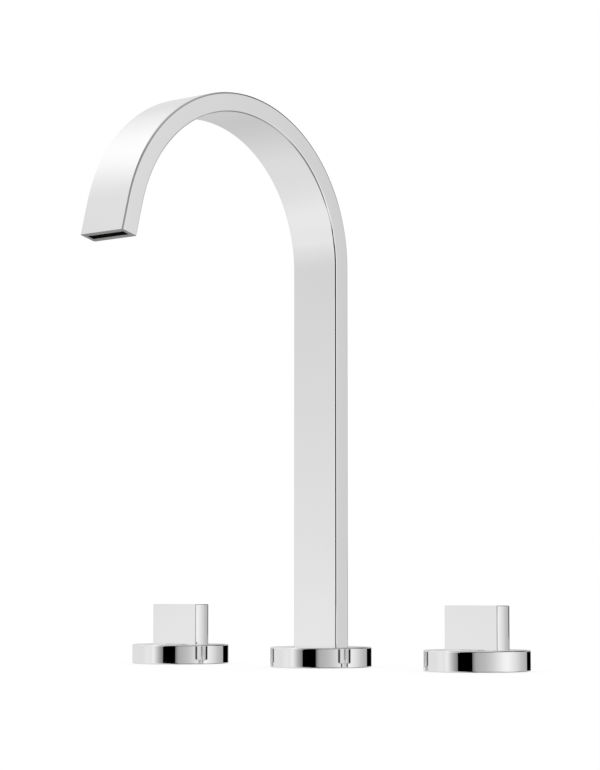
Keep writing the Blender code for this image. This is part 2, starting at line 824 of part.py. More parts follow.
def make_tee(parent):
    """Tee that gathers both supplies into the spout's shank."""
    outer = [
        (0, tee_top), (shank_radius, tee_top), (shank_radius, tee_collar_bottom),
        (tee_neck_radius, tee_collar_bottom), (tee_neck_radius, union_nut_bottom - seat_gap),
        (shank_radius, union_nut_bottom - seat_gap), (shank_radius, tee_bottom),
        (0, tee_bottom),
    ]
    tee = turned("tee_manifold", outer, parent, "brass", closed=False)
    level = Vector((0, 0, tee_port_level))
    reach = Vector((tee_port_reach, 0, 0))
    past = Vector((tee_port_reach + overrun, 0, 0))
    depth = Vector((tee_port_reach - tube_insert - seat_gap, 0, 0))
    arms = rod("tee_arms", port_radius, level - reach, level + reach, parent)
    down = rod("tee_down_way", base_passage / 2, (0, 0, tee_port_level),
               (0, 0, tee_top + overrun), parent)
    across = rod("tee_cross_way", passage_radius, level - past, level + past, parent)
    hot = rod("tee_hot_socket", port_bore_radius, level - past, level - depth, parent)
    cold = rod("tee_cold_socket", port_bore_radius, level + depth, level + past, parent)
    join(tee, arms)
    cut(tee, down, across, hot, cold)


def make_union_nut(parent):
    """Nut that draws the tee's collar up against the base's shank."""
    nut = hexagon("tee_union_nut", 2 * (thread_radius + union_nut_wall),
                  (0, 0, union_nut_bottom), (0, 0, union_nut_top), parent, "brass")
    neck = tee_neck_radius + seat_gap
    above = union_nut_top + overrun
    bore = turned("union_nut_bore", [
        (0, above), (thread_radius, above), (thread_radius, union_lip_top),
        (neck, union_lip_top), (neck, union_nut_bottom - overrun),
        (0, union_nut_bottom - overrun),
    ], parent, closed=False)
    cut(nut, bore)


def make_tee_seal(parent):
    ring("tee_seal", base_passage / 2, shank_radius, tee_seal_bottom,
         tee_seal_bottom + tee_seal_thickness, parent, "rubber")


def make_port_fitting(name, mouth, outward, parent):
    """Compression nut and olive on a port whose mouth faces outward."""
    olive_start = mouth + outward * seat_gap
    olive_end = olive_start + outward * olive_length
    olive = rod(f"{name}_olive", port_radius, olive_start, olive_end, parent, "brass")
    cut(olive, rod(f"{name}_olive_bore", port_bore_radius, mouth,
                   olive_end + outward * overrun, parent))
    lip_start = olive_end + outward * seat_gap
    nut_start = mouth - outward * port_nut_grip
    nut_end = lip_start + outward * port_nut_lip
    nut = hexagon(f"{name}_nut", port_nut_flats, nut_start, nut_end, parent, "brass")
    thread = rod(f"{name}_nut_thread", port_radius + seat_gap,
                 nut_start - outward * overrun, lip_start, parent)
    hole = rod(f"{name}_nut_hole", port_bore_radius, mouth,
               nut_end + outward * overrun, parent)
    cut(nut, thread, hole)


def crossover_points(side, extra):
    """Middle line of a crossover tube, from its valve down to the tee."""
    nut_reach = seat_gap + olive_length + seat_gap + port_nut_lip
    valve_mouth = handle_spacing - valve_port_reach
    high = valve_mouth - nut_reach - tube_lead
    low = tee_port_reach + nut_reach + tube_lead
    run = high - low
    drop = port_level - tee_port_level
    radius = min(tube_bend_radius, (run * run + drop * drop) / (4 * drop))
    span = sqrt(run * run + (drop - 2 * radius) ** 2)
    slope = atan2(drop - 2 * radius, run) + asin(min(1, 2 * radius / span))
    points = [(valve_mouth + tube_insert + extra, port_level)]
    for i in range(tube_bend_steps + 1):
        turn = slope * i / tube_bend_steps
        points.append((high - radius * sin(turn), port_level - radius * (1 - cos(turn))))
    for i in range(tube_bend_steps, -1, -1):
        turn = slope * i / tube_bend_steps
        points.append((low + radius * sin(turn), tee_port_level + radius * (1 - cos(turn))))
    points.append((tee_port_reach - tube_insert - extra, tee_port_level))
    return [(side * x, 0, z) for x, z in points]


def make_crossover_tube(name, side):
    tube = round_tube(name, crossover_points(side, 0), tube_radius, None, "copper")
    way = round_tube(name + "_way", crossover_points(side, overrun), passage_radius, None)
    cut(tube, way)


def make_handle(station, parent):
    """All that turns with a handle."""
    turning = axis(f"{station}_handle_axis", (0, 0, 0), parent)
    make_blade(f"{station}_handle_blade", turning)
    make_adapter(f"{station}_handle_adapter", turning)
    make_handle_screw(f"{station}_handle_screw", turning)
    make_spindle(f"{station}_spindle", turning)
    make_spindle_ring(f"{station}_spindle_o_ring", turning)
    make_clip(f"{station}_spindle_clip", turning)
    make_moving_disc(f"{station}_moving_disc", turning)


def make_valve(station, side):
    """One handle with its valve, from the blade down to the inlet."""
    centre = axis(f"{station}_valve_axis", (side * handle_spacing, 0, 0))
    make_handle(station, centre)
    make_handle_flange(f"{station}_flange", centre)
    make_gasket(f"{station}_flange_gasket", centre)
    make_retainer(f"{station}_cartridge_nut", centre)
    make_housing(f"{station}_cartridge_housing", centre)
    make_disc(f"{station}_fixed_disc", fixed_disc_bottom, (0, 1, 0), centre)
    ring(f"{station}_seat_seal", disc_radius - seat_seal_width, disc_radius,
         housing_bottom, seat_seal_top, centre, "rubber", small_steps)
    make_valve_body(f"{station}_valve_body", side, centre)
    make_deck_fastening(station, centre)
    inward = Vector((-side, 0, 0))
    mouth = inward * valve_port_reach + Vector((0, 0, port_level))
    make_port_fitting(f"{station}_valve_port", mouth, inward, centre)
    outward = Vector((side, 0, 0))
    tee_mouth = outward * tee_port_reach + Vector((0, 0, tee_port_level))
    make_port_fitting(f"{station}_tee_port", tee_mouth, outward, None)
    make_crossover_tube(f"{station}_crossover_tube", side)


def make_spout():
    """The spout with its base, from the arch down to the tee."""
    centre = axis("spout_axis", (0, 0, 0))
    make_spout_tube(centre)
    make_straightener(centre)
    make_spigot_rings(centre)
    make_spout_base(centre)
    make_spout_lock_screw(centre)
    make_spout_flange(centre)
    make_gasket("spout_flange_gasket", centre)
    make_deck_fastening("spout", centre)
    make_tee_seal(centre)
    make_union_nut(centre)
    make_tee(centre)


make_spout()
for station, side in (("hot", -1), ("cold", 1)):
    make_valve(station, side)
bpy.context.view_layer.update()
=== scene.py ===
# %% [markdown]
# # Widespread bathroom faucet
# A tall spout made of one flat band, bent over in an arch, stands between two handles.
# Each of the three stations has a round flange that lies on the deck. All that the
# photograph shows is polished chrome, so this scene is a lesson in two things: meshes
# whose faces are true enough to act as mirrors, and a studio that is worth mirroring.
# Below the deck there is more: shanks, nuts, valves, a tee and two copper tubes. They
# are made with the same care, because a plumber looks at a faucet from below.
#
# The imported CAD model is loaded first, as a frame that fixes every size and place.

# %% Load the frame
from math import asin, atan2, cos, degrees, pi, radians, sin, sqrt, tan

import bmesh
import bpy
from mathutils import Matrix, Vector


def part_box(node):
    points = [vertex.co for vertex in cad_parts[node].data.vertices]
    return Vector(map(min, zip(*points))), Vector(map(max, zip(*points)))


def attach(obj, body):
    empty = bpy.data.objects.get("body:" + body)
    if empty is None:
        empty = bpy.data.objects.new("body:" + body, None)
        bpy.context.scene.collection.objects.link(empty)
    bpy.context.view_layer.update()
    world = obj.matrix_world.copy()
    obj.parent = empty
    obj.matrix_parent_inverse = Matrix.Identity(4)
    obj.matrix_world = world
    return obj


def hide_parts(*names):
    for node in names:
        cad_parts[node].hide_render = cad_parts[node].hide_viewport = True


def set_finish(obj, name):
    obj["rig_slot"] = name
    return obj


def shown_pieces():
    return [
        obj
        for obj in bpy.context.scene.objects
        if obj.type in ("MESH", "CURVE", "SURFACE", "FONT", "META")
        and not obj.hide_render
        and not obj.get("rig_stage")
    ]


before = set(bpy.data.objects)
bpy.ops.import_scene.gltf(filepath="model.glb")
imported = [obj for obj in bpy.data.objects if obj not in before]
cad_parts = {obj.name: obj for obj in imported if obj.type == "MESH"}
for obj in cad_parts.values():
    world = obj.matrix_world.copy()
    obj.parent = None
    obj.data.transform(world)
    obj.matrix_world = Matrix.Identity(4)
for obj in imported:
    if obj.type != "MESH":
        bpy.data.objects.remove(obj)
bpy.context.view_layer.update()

# %% [markdown]
# ## Sizes
# Everything that can be read from the frame is read from it: a node's box gives its
# lowest and highest corner. Only what a box can't tell, such as the thickness of a
# wall or the width of a bevel, is written down, next to the piece that needs it.

# %% Sizes read from the frame
mm = 0.001
seat_gap = 0.3 * mm            # between two pieces that touch
overrun = 1 * mm               # how far a cutter passes what it cuts, and one part enters another
speck = 0.001 * mm             # points closer than this are one point


def size_of(node):
    low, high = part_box(node)
    return high - low


def middle_of(node):
    low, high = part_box(node)
    return (low + high) / 2


stations = {name: middle_of(f"{name}_flange").x for name in ("hot", "spout", "cold")}
spread = stations["cold"] - stations["hot"]
x = stations["hot"]            # what the handles share is made here first
flange_radius = size_of("spout_flange").x / 2
flange_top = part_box("spout_flange")[1].z
print("stations at", {name: round(place / mm, 1) for name, place in stations.items()})
print("flange", round(flange_radius / mm, 2), "by", round(flange_top / mm, 2))

# %% [markdown]
# ## Working by hand, in code
# Blender's modelling operators act on whatever is selected. So every step starts the
# same way: nothing is selected, a primitive is added, and in edit mode the faces or
# edges to work on are picked by their place or by the way they face.

# %% Selecting
def deselect():
    """Back to object mode with nothing selected."""
    if bpy.context.object and bpy.context.object.mode == 'EDIT':
        bpy.ops.object.mode_set(mode='OBJECT')
    bpy.ops.object.select_all(action='DESELECT')


def take(piece):
    """Make a piece the only selected one."""
    deselect()
    piece.select_set(True)
    bpy.context.view_layer.objects.active = piece
    return piece


def open_up(piece):
    """Enter edit mode on one piece, with all of it selected."""
    take(piece)
    bpy.ops.object.mode_set(mode='EDIT')
    bpy.ops.mesh.select_all(action='SELECT')


def pick(kind, parts_of, wanted):
    """In edit mode, select the faces or edges for which wanted is true."""
    bpy.ops.mesh.select_mode(type=kind)
    bpy.ops.mesh.select_all(action='DESELECT')
    mesh = bpy.context.object.data
    shape = bmesh.from_edit_mesh(mesh)
    shape.normal_update()
    for part in parts_of(shape):
        part.select_set(wanted(part))
    shape.select_flush_mode()
    bmesh.update_edit_mesh(mesh)


def pick_faces(wanted):
    """Select the faces for which wanted(middle, normal) is true."""
    pick('FACE', lambda shape: shape.faces,
         lambda face: wanted(face.calc_center_median(), face.normal))


def pick_edges(wanted):
    """Select the edges for which wanted(one end, other end) is true."""
    pick('EDGE', lambda shape: shape.edges,
         lambda edge: wanted(edge.verts[0].co, edge.verts[1].co))


def close_up(piece, angle=30):
    """Leave edit mode with the normals pointing out and round faces shaded smooth."""
    bpy.ops.mesh.select_all(action='SELECT')
    bpy.ops.mesh.remove_doubles(threshold=speck)
    bpy.ops.mesh.normals_make_consistent(inside=False)
    bpy.ops.object.mode_set(mode='OBJECT')
    bpy.ops.object.shade_smooth_by_angle(angle=radians(angle))
    return piece


# %% Starting a piece
def settle(piece):
    """Move a piece's place, turn and scale into its mesh."""
    bpy.ops.object.transform_apply(location=True, rotation=True, scale=True)
    return piece


def started(name):
    """Name the primitive that was just added, and settle it."""
    piece = bpy.context.object
    piece.name = name
    piece.data.name = name
    return settle(piece)


def add_block(name, low, high):
    deselect()
    low, high = Vector(low), Vector(high)
    bpy.ops.mesh.primitive_cube_add(size=1, location=(low + high) / 2, scale=high - low)
    return started(name)


def add_rod(name, radius, start, end, sides=48):
    deselect()
    start, end = Vector(start), Vector(end)
    run = end - start
    bpy.ops.mesh.primitive_cylinder_add(
        vertices=sides, radius=radius, depth=run.length, location=(start + end) / 2,
        rotation=run.to_track_quat('Z', 'Y').to_euler())
    return started(name)


def upright(a, b):
    """True for an edge that climbs, from one end to the other."""
    return abs(a.z - b.z) > 1 * mm


def round_edges(piece, width, segments, wanted=upright):
    """Round some edges of a block: the upright ones, unless told otherwise."""
    open_up(piece)
    pick_edges(wanted)
    bpy.ops.mesh.bevel(offset=width, segments=segments, affect='EDGES')
    return close_up(piece)


def laid(piece, start, direction):
    """Move a piece that was made upright at the origin to start, along direction."""
    take(piece)
    piece.rotation_euler = Vector(direction).to_track_quat('Z', 'Y').to_euler()
    piece.location = start
    return settle(piece)


def twin(piece, name, move=(0, 0, 0), turn=0):
    """A copy with its own mesh, moved, or turned about the upright axis."""
    take(piece)
    bpy.ops.object.duplicate(linked=False)
    copy = bpy.context.object
    copy.location = move
    copy.rotation_euler.z = turn
    return started(name)


def joined(piece, *others):
    """Join other meshes into a piece without cutting either."""
    take(piece)
    for other in others:
        other.select_set(True)
    bpy.ops.object.join()
    return piece


# %% Modifiers, applied at once
def apply_all(piece):
    take(piece)
    for modifier in list(piece.modifiers):
        bpy.ops.object.modifier_apply(modifier=modifier.name)
    return piece


def boolean(piece, operation, *tools):
    """Cut with other meshes or unite with them. They are used up."""
    for tool in tools:
        step = piece.modifiers.new(operation.lower(), 'BOOLEAN')
        step.operation = operation
        step.solver = 'EXACT'
        step.object = tool
    apply_all(piece)
    for tool in tools:
        bpy.data.objects.remove(tool)
    return piece


def cut(piece, *tools):
    return boolean(piece, 'DIFFERENCE', *tools)


def unite(piece, *tools):
    return boolean(piece, 'UNION', *tools)


def weigh_normals(piece, angle=30):
    """Large faces keep their true normals, and the roundings take the bend."""
    take(piece)
    bpy.ops.object.shade_smooth_by_angle(angle=radians(angle))
    weights = piece.modifiers.new("weights", 'WEIGHTED_NORMAL')
    weights.keep_sharp = True
    weights.weight = 100
    return apply_all(piece)


def soften(piece, width, segments=2, angle=30):
    """Round the sharp edges."""
    bevel = piece.modifiers.new("edges", 'BEVEL')
    bevel.width = width
    bevel.segments = segments
    bevel.limit_method = 'ANGLE'
    bevel.angle_limit = radians(angle)
    bevel.use_clamp_overlap = True
    apply_all(piece)
    return weigh_normals(piece, angle)


# %% [markdown]
# Most pieces of a faucet come off a lathe: flanges, washers, spindles, discs. On the
# lathe a profile is turned about an axis. Here a filled circle is extruded and resized
# from one point of the profile to the next, which gives the same shape.

# %% Turned pieces
def turned(name, profile, centre=(0, 0), sides=64, bored=False):
    """Turn (radius, height) points about an upright axis.

    A bored piece's first and last circles are opened and joined, which leaves a ring.
    """
    deselect()
    radius, height = profile[0]
    bpy.ops.mesh.primitive_circle_add(vertices=sides, radius=radius, fill_type='NGON',
                                      location=(*centre, height))
    piece = started(name)
    open_up(piece)
    for next_radius, next_height in profile[1:]:
        bpy.ops.mesh.extrude_region_move(
            TRANSFORM_OT_translate={"value": (0, 0, next_height - height)})
        ratio = next_radius / radius
        bpy.ops.transform.resize(value=(ratio, ratio, 1),
                                 center_override=(*centre, next_height))
        radius, height = next_radius, next_height
    if bored:
        ends = (profile[0], profile[-1])
        pick_faces(lambda middle, normal: abs(normal.z) > 0.99
                   and (middle - Vector((*centre, middle.z))).length < 10 * speck
                   and any(abs(middle.z - level) < speck for _, level in ends))
        bpy.ops.mesh.delete(type='ONLY_FACE')
        bpy.ops.mesh.select_mode(type='EDGE')
        bpy.ops.mesh.select_all(action='DESELECT')
        bpy.ops.mesh.select_non_manifold()
        bpy.ops.mesh.bridge_edge_loops()
    return close_up(piece)


def arc(radius, height, bend, start, end, steps=5):
    """Profile points on a rounded edge. Angles are from the outward direction."""
    points = []
    for i in range(steps + 1):
        turn = radians(start + (end - start) * i / steps)
        points.append((radius + bend * cos(turn), height + bend * sin(turn)))
    return points


def ring_profile(inner, outer, bottom, top, edge):
    """A flat ring with its four edges rounded, outer side first."""
    return (arc(outer - edge, top - edge, edge, 90, 0, 3)
            + arc(outer - edge, bottom + edge, edge, 0, -90, 3)
            + arc(inner + edge, bottom + edge, edge, -90, -180, 3)
            + arc(inner + edge, top - edge, edge, 180, 90, 3))


def flat_ring(name, node, bore, edge, sides=64, centre=(x, 0)):
    """A ring that fills its node's box but for the bore."""
    low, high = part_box(node)
    profile = ring_profile(bore, (high.x - low.x) / 2, low.z, high.z, edge)
    return turned(name, profile, centre, sides, bored=True)


# %% [markdown]
# A thread is a ridge that is wound round a core. The ridge's section is a small plane
# stood on edge and narrowed towards its crest, and the Screw modifier winds it up.
# Nuts show only the mouth of their thread, so theirs is cut as a row of plain grooves.

# %% Threads
thread_pitch = 1.5 * mm
thread_depth = 0.8 * mm
thread_sunk = 0.1 * mm         # how far the ridge's foot lies in the core


def thread(crest, length, start, direction=(0, 0, 1), sides=64):
    """A thread's ridge, wound up to crest's radius from start along direction."""
    deselect()
    height = thread_depth + thread_sunk
    bpy.ops.mesh.primitive_plane_add(size=1, rotation=(pi / 2, 0, 0))
    bpy.context.object.scale = (height, 0.9 * thread_pitch, 1)
    bpy.context.object.location = (crest - height / 2, 0, thread_pitch / 2)
    piece = started("thread")
    open_up(piece)
    middle = crest - thread_depth / 2
    pick_edges(lambda a, b: a.x > middle and b.x > middle)
    bpy.ops.transform.resize(value=(1, 1, 0.2), center_override=(crest, 0, thread_pitch / 2))
    bpy.ops.mesh.select_mode(type='FACE')
    bpy.ops.mesh.select_all(action='SELECT')
    bpy.ops.mesh.delete(type='ONLY_FACE')
    bpy.ops.object.mode_set(mode='OBJECT')
    winding = piece.modifiers.new("winding", 'SCREW')
    winding.steps = sides
    winding.render_steps = sides
    winding.screw_offset = thread_pitch
    winding.iterations = int(length / thread_pitch) - 1
    winding.use_merge_vertices = False
    apply_all(piece)
    open_up(piece)
    bpy.ops.mesh.remove_doubles(threshold=speck)
    bpy.ops.mesh.fill_holes(sides=4)
    return laid(close_up(piece, 20), start, direction)


def grooved(radius, bottom, top):
    """Profile of a threaded bore between two levels, from the bottom up."""
    root = radius + thread_depth
    groove = radius + thread_depth * 0.8
    lead = 0.4 * mm
    points = [(root, bottom)]
    level = bottom + lead
    while level + thread_pitch < top:
        points += [(radius, level + 0.4 * thread_pitch), (radius, level + 0.5 * thread_pitch),
                   (groove, level + 0.9 * thread_pitch), (groove, level + thread_pitch)]
        level += thread_pitch
    return points + [(radius, top - lead), (root, top)]


# %% [markdown]
# Every finished piece is dressed the same way: it rides on the body that carries it,
# it stands in for its CAD node, and it takes the finish of a slot in the record. The
# print shows how far its box is off the node's box, so a slip shows at once.

# %% Dressing a piece
def box_of(piece):
    corners = [vertex.co for vertex in piece.data.vertices]
    low = Vector(min(c[i] for c in corners) for i in range(3))
    high = Vector(max(c[i] for c in corners) for i in range(3))
    return low, high


def dress(piece, body, node, slot):
    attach(piece, body)
    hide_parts(node)
    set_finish(piece, slot)
    off = max(abs(a - b) for corner, node_corner in zip(box_of(piece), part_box(node))
              for a, b in zip(corner, node_corner))
    print(f"{piece.name:24} {len(piece.data.polygons):6} faces, box within {off / mm:.2f} mm")


def dress_pair(piece, name, body, node, slot, turn=0):
    """Dress a hot piece, and its cold twin beside it or turned round the spout."""
    move = (0, 0, 0) if turn else (spread, 0, 0)
    other = twin(piece, f"cold_{name}", move, turn)
    for side, made in (("hot", piece), ("cold", other)):
        dress(made, body.replace("*", side), f"{side}_{node}", slot)


def dress_three(piece, name, node, slot):
    """Dress a hot piece that the spout's and the cold station have too."""
    dress(twin(piece, f"spout_{name}", (-x, 0, 0)), "faucet", f"spout_{node}", slot)
    dress_pair(piece, name, "faucet", node, slot)


# %% [markdown]
# ## The spout
# The real spout is a flat brass tube, bent over a former and chromed. So it is made
# here the same way: a short upright block with rounded corners is swept round the
# arch's axis by Spin, and its end is drawn out straight for the tip. The water's way
# is a thinner sweep of the same kind, cut out of it, which leaves a true slot at the
# outlet. A round spigot with grooves for its lock screw and rings is brazed in below.

# %% Sizes of the band
arch_radius = 74.7 * mm        # to the middle of the band
arch_height = 204.9 * mm       # the arch's centre above the deck
arch_angle = radians(165.65)
tip_length = 17.0 * mm         # straight stretch past the arch
band_width = size_of("spout_tube").x
band_thickness = 9.8 * mm
band_side_wall = 2.5 * mm
band_face_wall = 2.9 * mm
band_foot = 7.7 * mm           # where the band starts, inside its flange
band_edge = 0.95 * mm
way_width = band_width - 2 * band_side_wall
way_thickness = band_thickness - 2 * band_face_wall
arch_centre = Vector((0, -arch_radius, arch_height))
arch_end = Vector((0, arch_radius * (cos(arch_angle) - 1),
                   arch_height + arch_radius * sin(arch_angle)))
tip_direction = Vector((0, -sin(arch_angle), cos(arch_angle)))
outlet = arch_end + tip_direction * tip_length


# %% Sweep a band round the arch
def swept_band(name, width, thickness, foot, tip, edge=0):
    piece = add_block(name, (-width / 2, -thickness / 2, foot),
                      (width / 2, thickness / 2, arch_height))
    if edge:
        round_edges(piece, edge, 5)
    open_up(piece)
    pick_faces(lambda middle, normal: normal.z > 0.9)
    bpy.ops.mesh.spin(steps=144, angle=arch_angle, center=arch_centre, axis=(-1, 0, 0))
    bpy.ops.mesh.extrude_region_move(TRANSFORM_OT_translate={"value": tip_direction * tip})
    return close_up(piece)


spout = swept_band("spout", band_width, band_thickness, band_foot, tip_length, band_edge)
print("spout sweep ends at", [round(c / mm, 2) for c in box_of(spout)[0]])

# %% Braze the spigot into its foot
spigot_radius = 7.8 * mm
spigot_neck = 4.4 * mm         # narrow enough to lie inside the band
spigot_way = 4.0 * mm
spigot_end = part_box("spout_tube")[0].z
lead = 0.4 * mm                # the small cone at the end of a turned piece
ring_section = 1.8 * mm
ring_room = 0.2 * mm           # between a ring and the root of its groove
groove_half = 1.1 * mm         # half the height of a ring's groove
lock_groove_half = 1.9 * mm
lock_groove_depth = 0.8 * mm
lock_level = middle_of("spout_lock_screw").z
ring_levels = [middle_of(f"spout_{name}_o_ring").z for name in ("upper", "lower")]
ring_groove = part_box("spout_upper_o_ring")[1].x - ring_section - ring_room
spigot_profile = [(spigot_neck, band_foot + overrun), (spigot_neck, band_foot),
                  (spigot_radius - lead, band_foot), (spigot_radius, band_foot - lead)]
for level, half, root in ((lock_level, lock_groove_half, spigot_radius - lock_groove_depth),
                          (ring_levels[0], groove_half, ring_groove),
                          (ring_levels[1], groove_half, ring_groove)):
    spigot_profile += [(spigot_radius, level + half), (root, level + half),
                       (root, level - half), (spigot_radius, level - half)]
spigot_profile += [(spigot_radius, spigot_end + 2 * lead), (spigot_radius - 2 * lead, spigot_end)]
unite(spout, turned("spigot", spigot_profile))

# %% Cut the water's way and round the ends
way_foot = band_foot + 3 * mm
way = swept_band("way", way_width, way_thickness, way_foot, tip_length + overrun)
bore = add_rod("bore", spigot_way, (0, 0, spigot_end - overrun), (0, 0, way_foot + overrun), 64)
cut(spout, way, bore)
soften(spout, 0.2 * mm)
dress(spout, "faucet", "spout_tube", "chrome")

# %% [markdown]
# The slot at the outlet isn't empty. A comb of moulded plastic sits just inside it and
# splits the water into eight cells, so that it falls as a clear sheet. It is a bar as
# wide as the way, and its cells are cut with slightly rounded corners.

# %% Comb in the outlet
comb_length = 10.0 * mm
comb_recess = 3.0 * mm
comb_rib = 0.6 * mm
comb_cells = 8
cell_corner = 0.4 * mm
comb_width = way_width - 2 * seat_gap
comb_thickness = way_thickness - 2 * seat_gap
comb = add_block("spout_comb", (-comb_width / 2, -comb_thickness / 2, -comb_length),
                 (comb_width / 2, comb_thickness / 2, 0))
cell_pitch = (comb_width - comb_rib) / comb_cells
cell_half = (cell_pitch - comb_rib) / 2
cells = []
for i in range(comb_cells):
    place = (i - (comb_cells - 1) / 2) * cell_pitch
    cell = add_block("cell", (place - cell_half, -comb_thickness / 2 + comb_rib, -2 * comb_length),
                     (place + cell_half, comb_thickness / 2 - comb_rib, 2 * comb_length))
    cells.append(round_edges(cell, cell_corner, 3))
cut(comb, *cells)
soften(comb, 0.12 * mm)
take(comb)
comb.rotation_euler = (arch_angle, 0, 0)
comb.location = outlet - tip_direction * comb_recess
settle(comb)
dress(comb, "faucet", "stream_straightener", "black_plastic")

# %% [markdown]
# ## The flanges
# A flange is a thin cap turned from bar. It stands on the deck on a narrow rim, with a
# rubber ring just inside it. A handle's flange has a sleeve that screws onto the valve
# from above. The spout's flange only slides over the band, so it has an oblong hole.

# %% Flanges
rim = 1.4 * mm
ledge = 1.0 * mm
ledge_height = 2.3 * mm
plate_under = 8.0 * mm
flange_round = 0.7 * mm
flange_foot_round = 0.55 * mm
sleeve_outer = 14.7 * mm
shank_bore = 12.3 * mm         # of whatever goes over a shank
sleeve_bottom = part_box("hot_flange")[0].z
collar_hole = 8.1 * mm
hole_round = 0.2 * mm
spout_cap_disc = 16.6 * mm     # radius of the part under its plate that the band passes
band_hole_edge = 0.9 * mm


def flange_outside():
    """From the top's edge, down the wall and back up to the underside of the plate."""
    return (arc(flange_radius - flange_round, flange_top - flange_round, flange_round, 90, 0)
            + arc(flange_radius - flange_foot_round, flange_foot_round, flange_foot_round, 0, -90, 3)
            + [(flange_radius - rim, 0), (flange_radius - rim, ledge_height),
               (flange_radius - rim - ledge, ledge_height),
               (flange_radius - rim - ledge, plate_under)])


profile = arc(collar_hole + hole_round, flange_top - hole_round, hole_round, 180, 90, 3)
profile += flange_outside()
profile += [(sleeve_outer, plate_under), (sleeve_outer, sleeve_bottom)]
profile += grooved(shank_bore, sleeve_bottom, plate_under - 1 * mm)
profile += [(collar_hole, plate_under)]
flange = turned("hot_cap", profile, (x, 0), 192, bored=True)
dress_pair(weigh_normals(flange), "cap", "faucet", "flange", "chrome")

flange = turned("spout_cap", flange_outside() + [(spout_cap_disc, plate_under)], sides=192)
hole_half = Vector((band_width / 2 + seat_gap, band_thickness / 2 + seat_gap, 0))
hole = add_block("band_hole", Vector((0, 0, plate_under - overrun)) - hole_half,
                 Vector((0, 0, flange_top + overrun)) + hole_half)
cut(flange, round_edges(hole, band_hole_edge, 4))
dress(weigh_normals(flange), "faucet", "spout_flange", "chrome")

# %% Rubber rings under the flanges
gasket_outer = size_of("spout_flange_gasket").x / 2
gasket_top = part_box("spout_flange_gasket")[1].z
gasket_inner = gasket_outer - 4.5 * mm
gasket_middle = (gasket_inner + gasket_outer) / 2
give_half = 0.8 * mm           # half the width of the groove that lets the ring give
give_depth = 0.4 * mm
profile = ring_profile(gasket_inner, gasket_outer, 0, gasket_top, 0.3 * mm)
profile += [(gasket_middle - give_half, gasket_top),
            (gasket_middle - give_half / 2, gasket_top - give_depth),
            (gasket_middle + give_half / 2, gasket_top - give_depth),
            (gasket_middle + give_half, gasket_top)]
gasket = turned("hot_cap_ring", profile, (x, 0), 96, bored=True)
dress_three(gasket, "cap_ring", "flange_gasket", "rubber")

# %% [markdown]
# ## The handles
# A blade is a slice of round bar: its two long faces are milled flat, and its ends stay
# parts of the bar's surface, so they run true to the flange when the handle turns. The
# number of sides is chosen so that one falls just on the edge of the flat, which leaves
# room for the rounding there.

# %% Blades
blade_low, blade_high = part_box("hot_handle_blade")
blade_radius = (blade_high.x - blade_low.x) / 2
blade_half = (blade_high.y - blade_low.y) / 2
blade_sides = 118
blade_foot = flange_top + 0.12 * mm
blade_edge = 0.35 * mm
adapter_low, adapter_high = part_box("hot_handle_adapter")
tang_half = 2.5 * mm
screw_level = middle_of("hot_handle_screw").z
screw_clearance = 1.8 * mm     # radius of the plain holes round a set screw
blade = add_rod("hot_blade", blade_radius, (x, 0, blade_foot), (x, 0, blade_high.z), blade_sides)
open_up(blade)
for side in (-1, 1):
    bpy.ops.mesh.select_all(action='SELECT')
    bpy.ops.mesh.bisect(plane_co=(x, side * blade_half, 0), plane_no=(0, side, 0),
                        use_fill=True, clear_outer=True)


def on_blade_edge(a, b):
    """Along the blade's top, or upright between a flat and an end."""
    along_top = min(a.z, b.z) > blade_high.z - 10 * speck
    return along_top or (upright(a, b) and abs(abs(a.y) - blade_half) < 10 * speck)


round_edges(blade, blade_edge, 4, on_blade_edge)
room = tang_half + seat_gap
tang_hole = add_block("tang_hole", (x - room, -room, 0),
                      (x + room, room, adapter_high.z + seat_gap))
screw_hole = add_rod("screw_hole", screw_clearance, (x, 0, screw_level),
                     (x, blade_half + overrun, screw_level))
cut(blade, tang_hole, screw_hole)
dress_pair(weigh_normals(blade), "blade", "*_handle", "handle_blade", "chrome")

# %% [markdown]
# Inside a blade a brass adapter fits the valve's spindle with its round collar, and its
# square tang fills the hole in the blade. A headless screw from behind holds the two
# together. Its thread is a row of ridges, and its key socket is cut with a hexagon.

# %% Adapters
collar_top = flange_top - 0.1 * mm
collar_radius = size_of("hot_handle_adapter").x / 2
collar_edge = 0.3 * mm
spindle_radius = 4.5 * mm
spindle_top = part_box("hot_spindle")[1].z
screw_bite = 1.2 * mm          # how deep the screw's point sits in the tang
profile = [(collar_radius - 0.5 * mm, collar_top), (collar_radius, collar_top - collar_edge),
           (collar_radius, adapter_low.z + collar_edge),
           (collar_radius - collar_edge, adapter_low.z),
           (spindle_radius + lead, adapter_low.z), (spindle_radius, adapter_low.z + lead),
           (spindle_radius, spindle_top + seat_gap)]
adapter = turned("hot_adapter", profile, (x, 0))
tang = add_block("tang", (x - tang_half, -tang_half, collar_top - overrun),
                 (x + tang_half, tang_half, adapter_high.z))
pocket = add_rod("pocket", screw_clearance, (x, tang_half - screw_bite, screw_level),
                 (x, blade_half + overrun, screw_level))
unite(adapter, tang)
cut(adapter, pocket)
soften(adapter, 0.15 * mm)
dress_pair(adapter, "adapter", "*_handle", "handle_adapter", "brass")


# %% Set screws
screw_radius = 1.5 * mm
screw_chamfer = 0.3 * mm
ridge_pitch = 0.5 * mm         # from one ridge of its thread to the next
ridge_width = 0.4 * mm
ridge_depth = 0.25 * mm


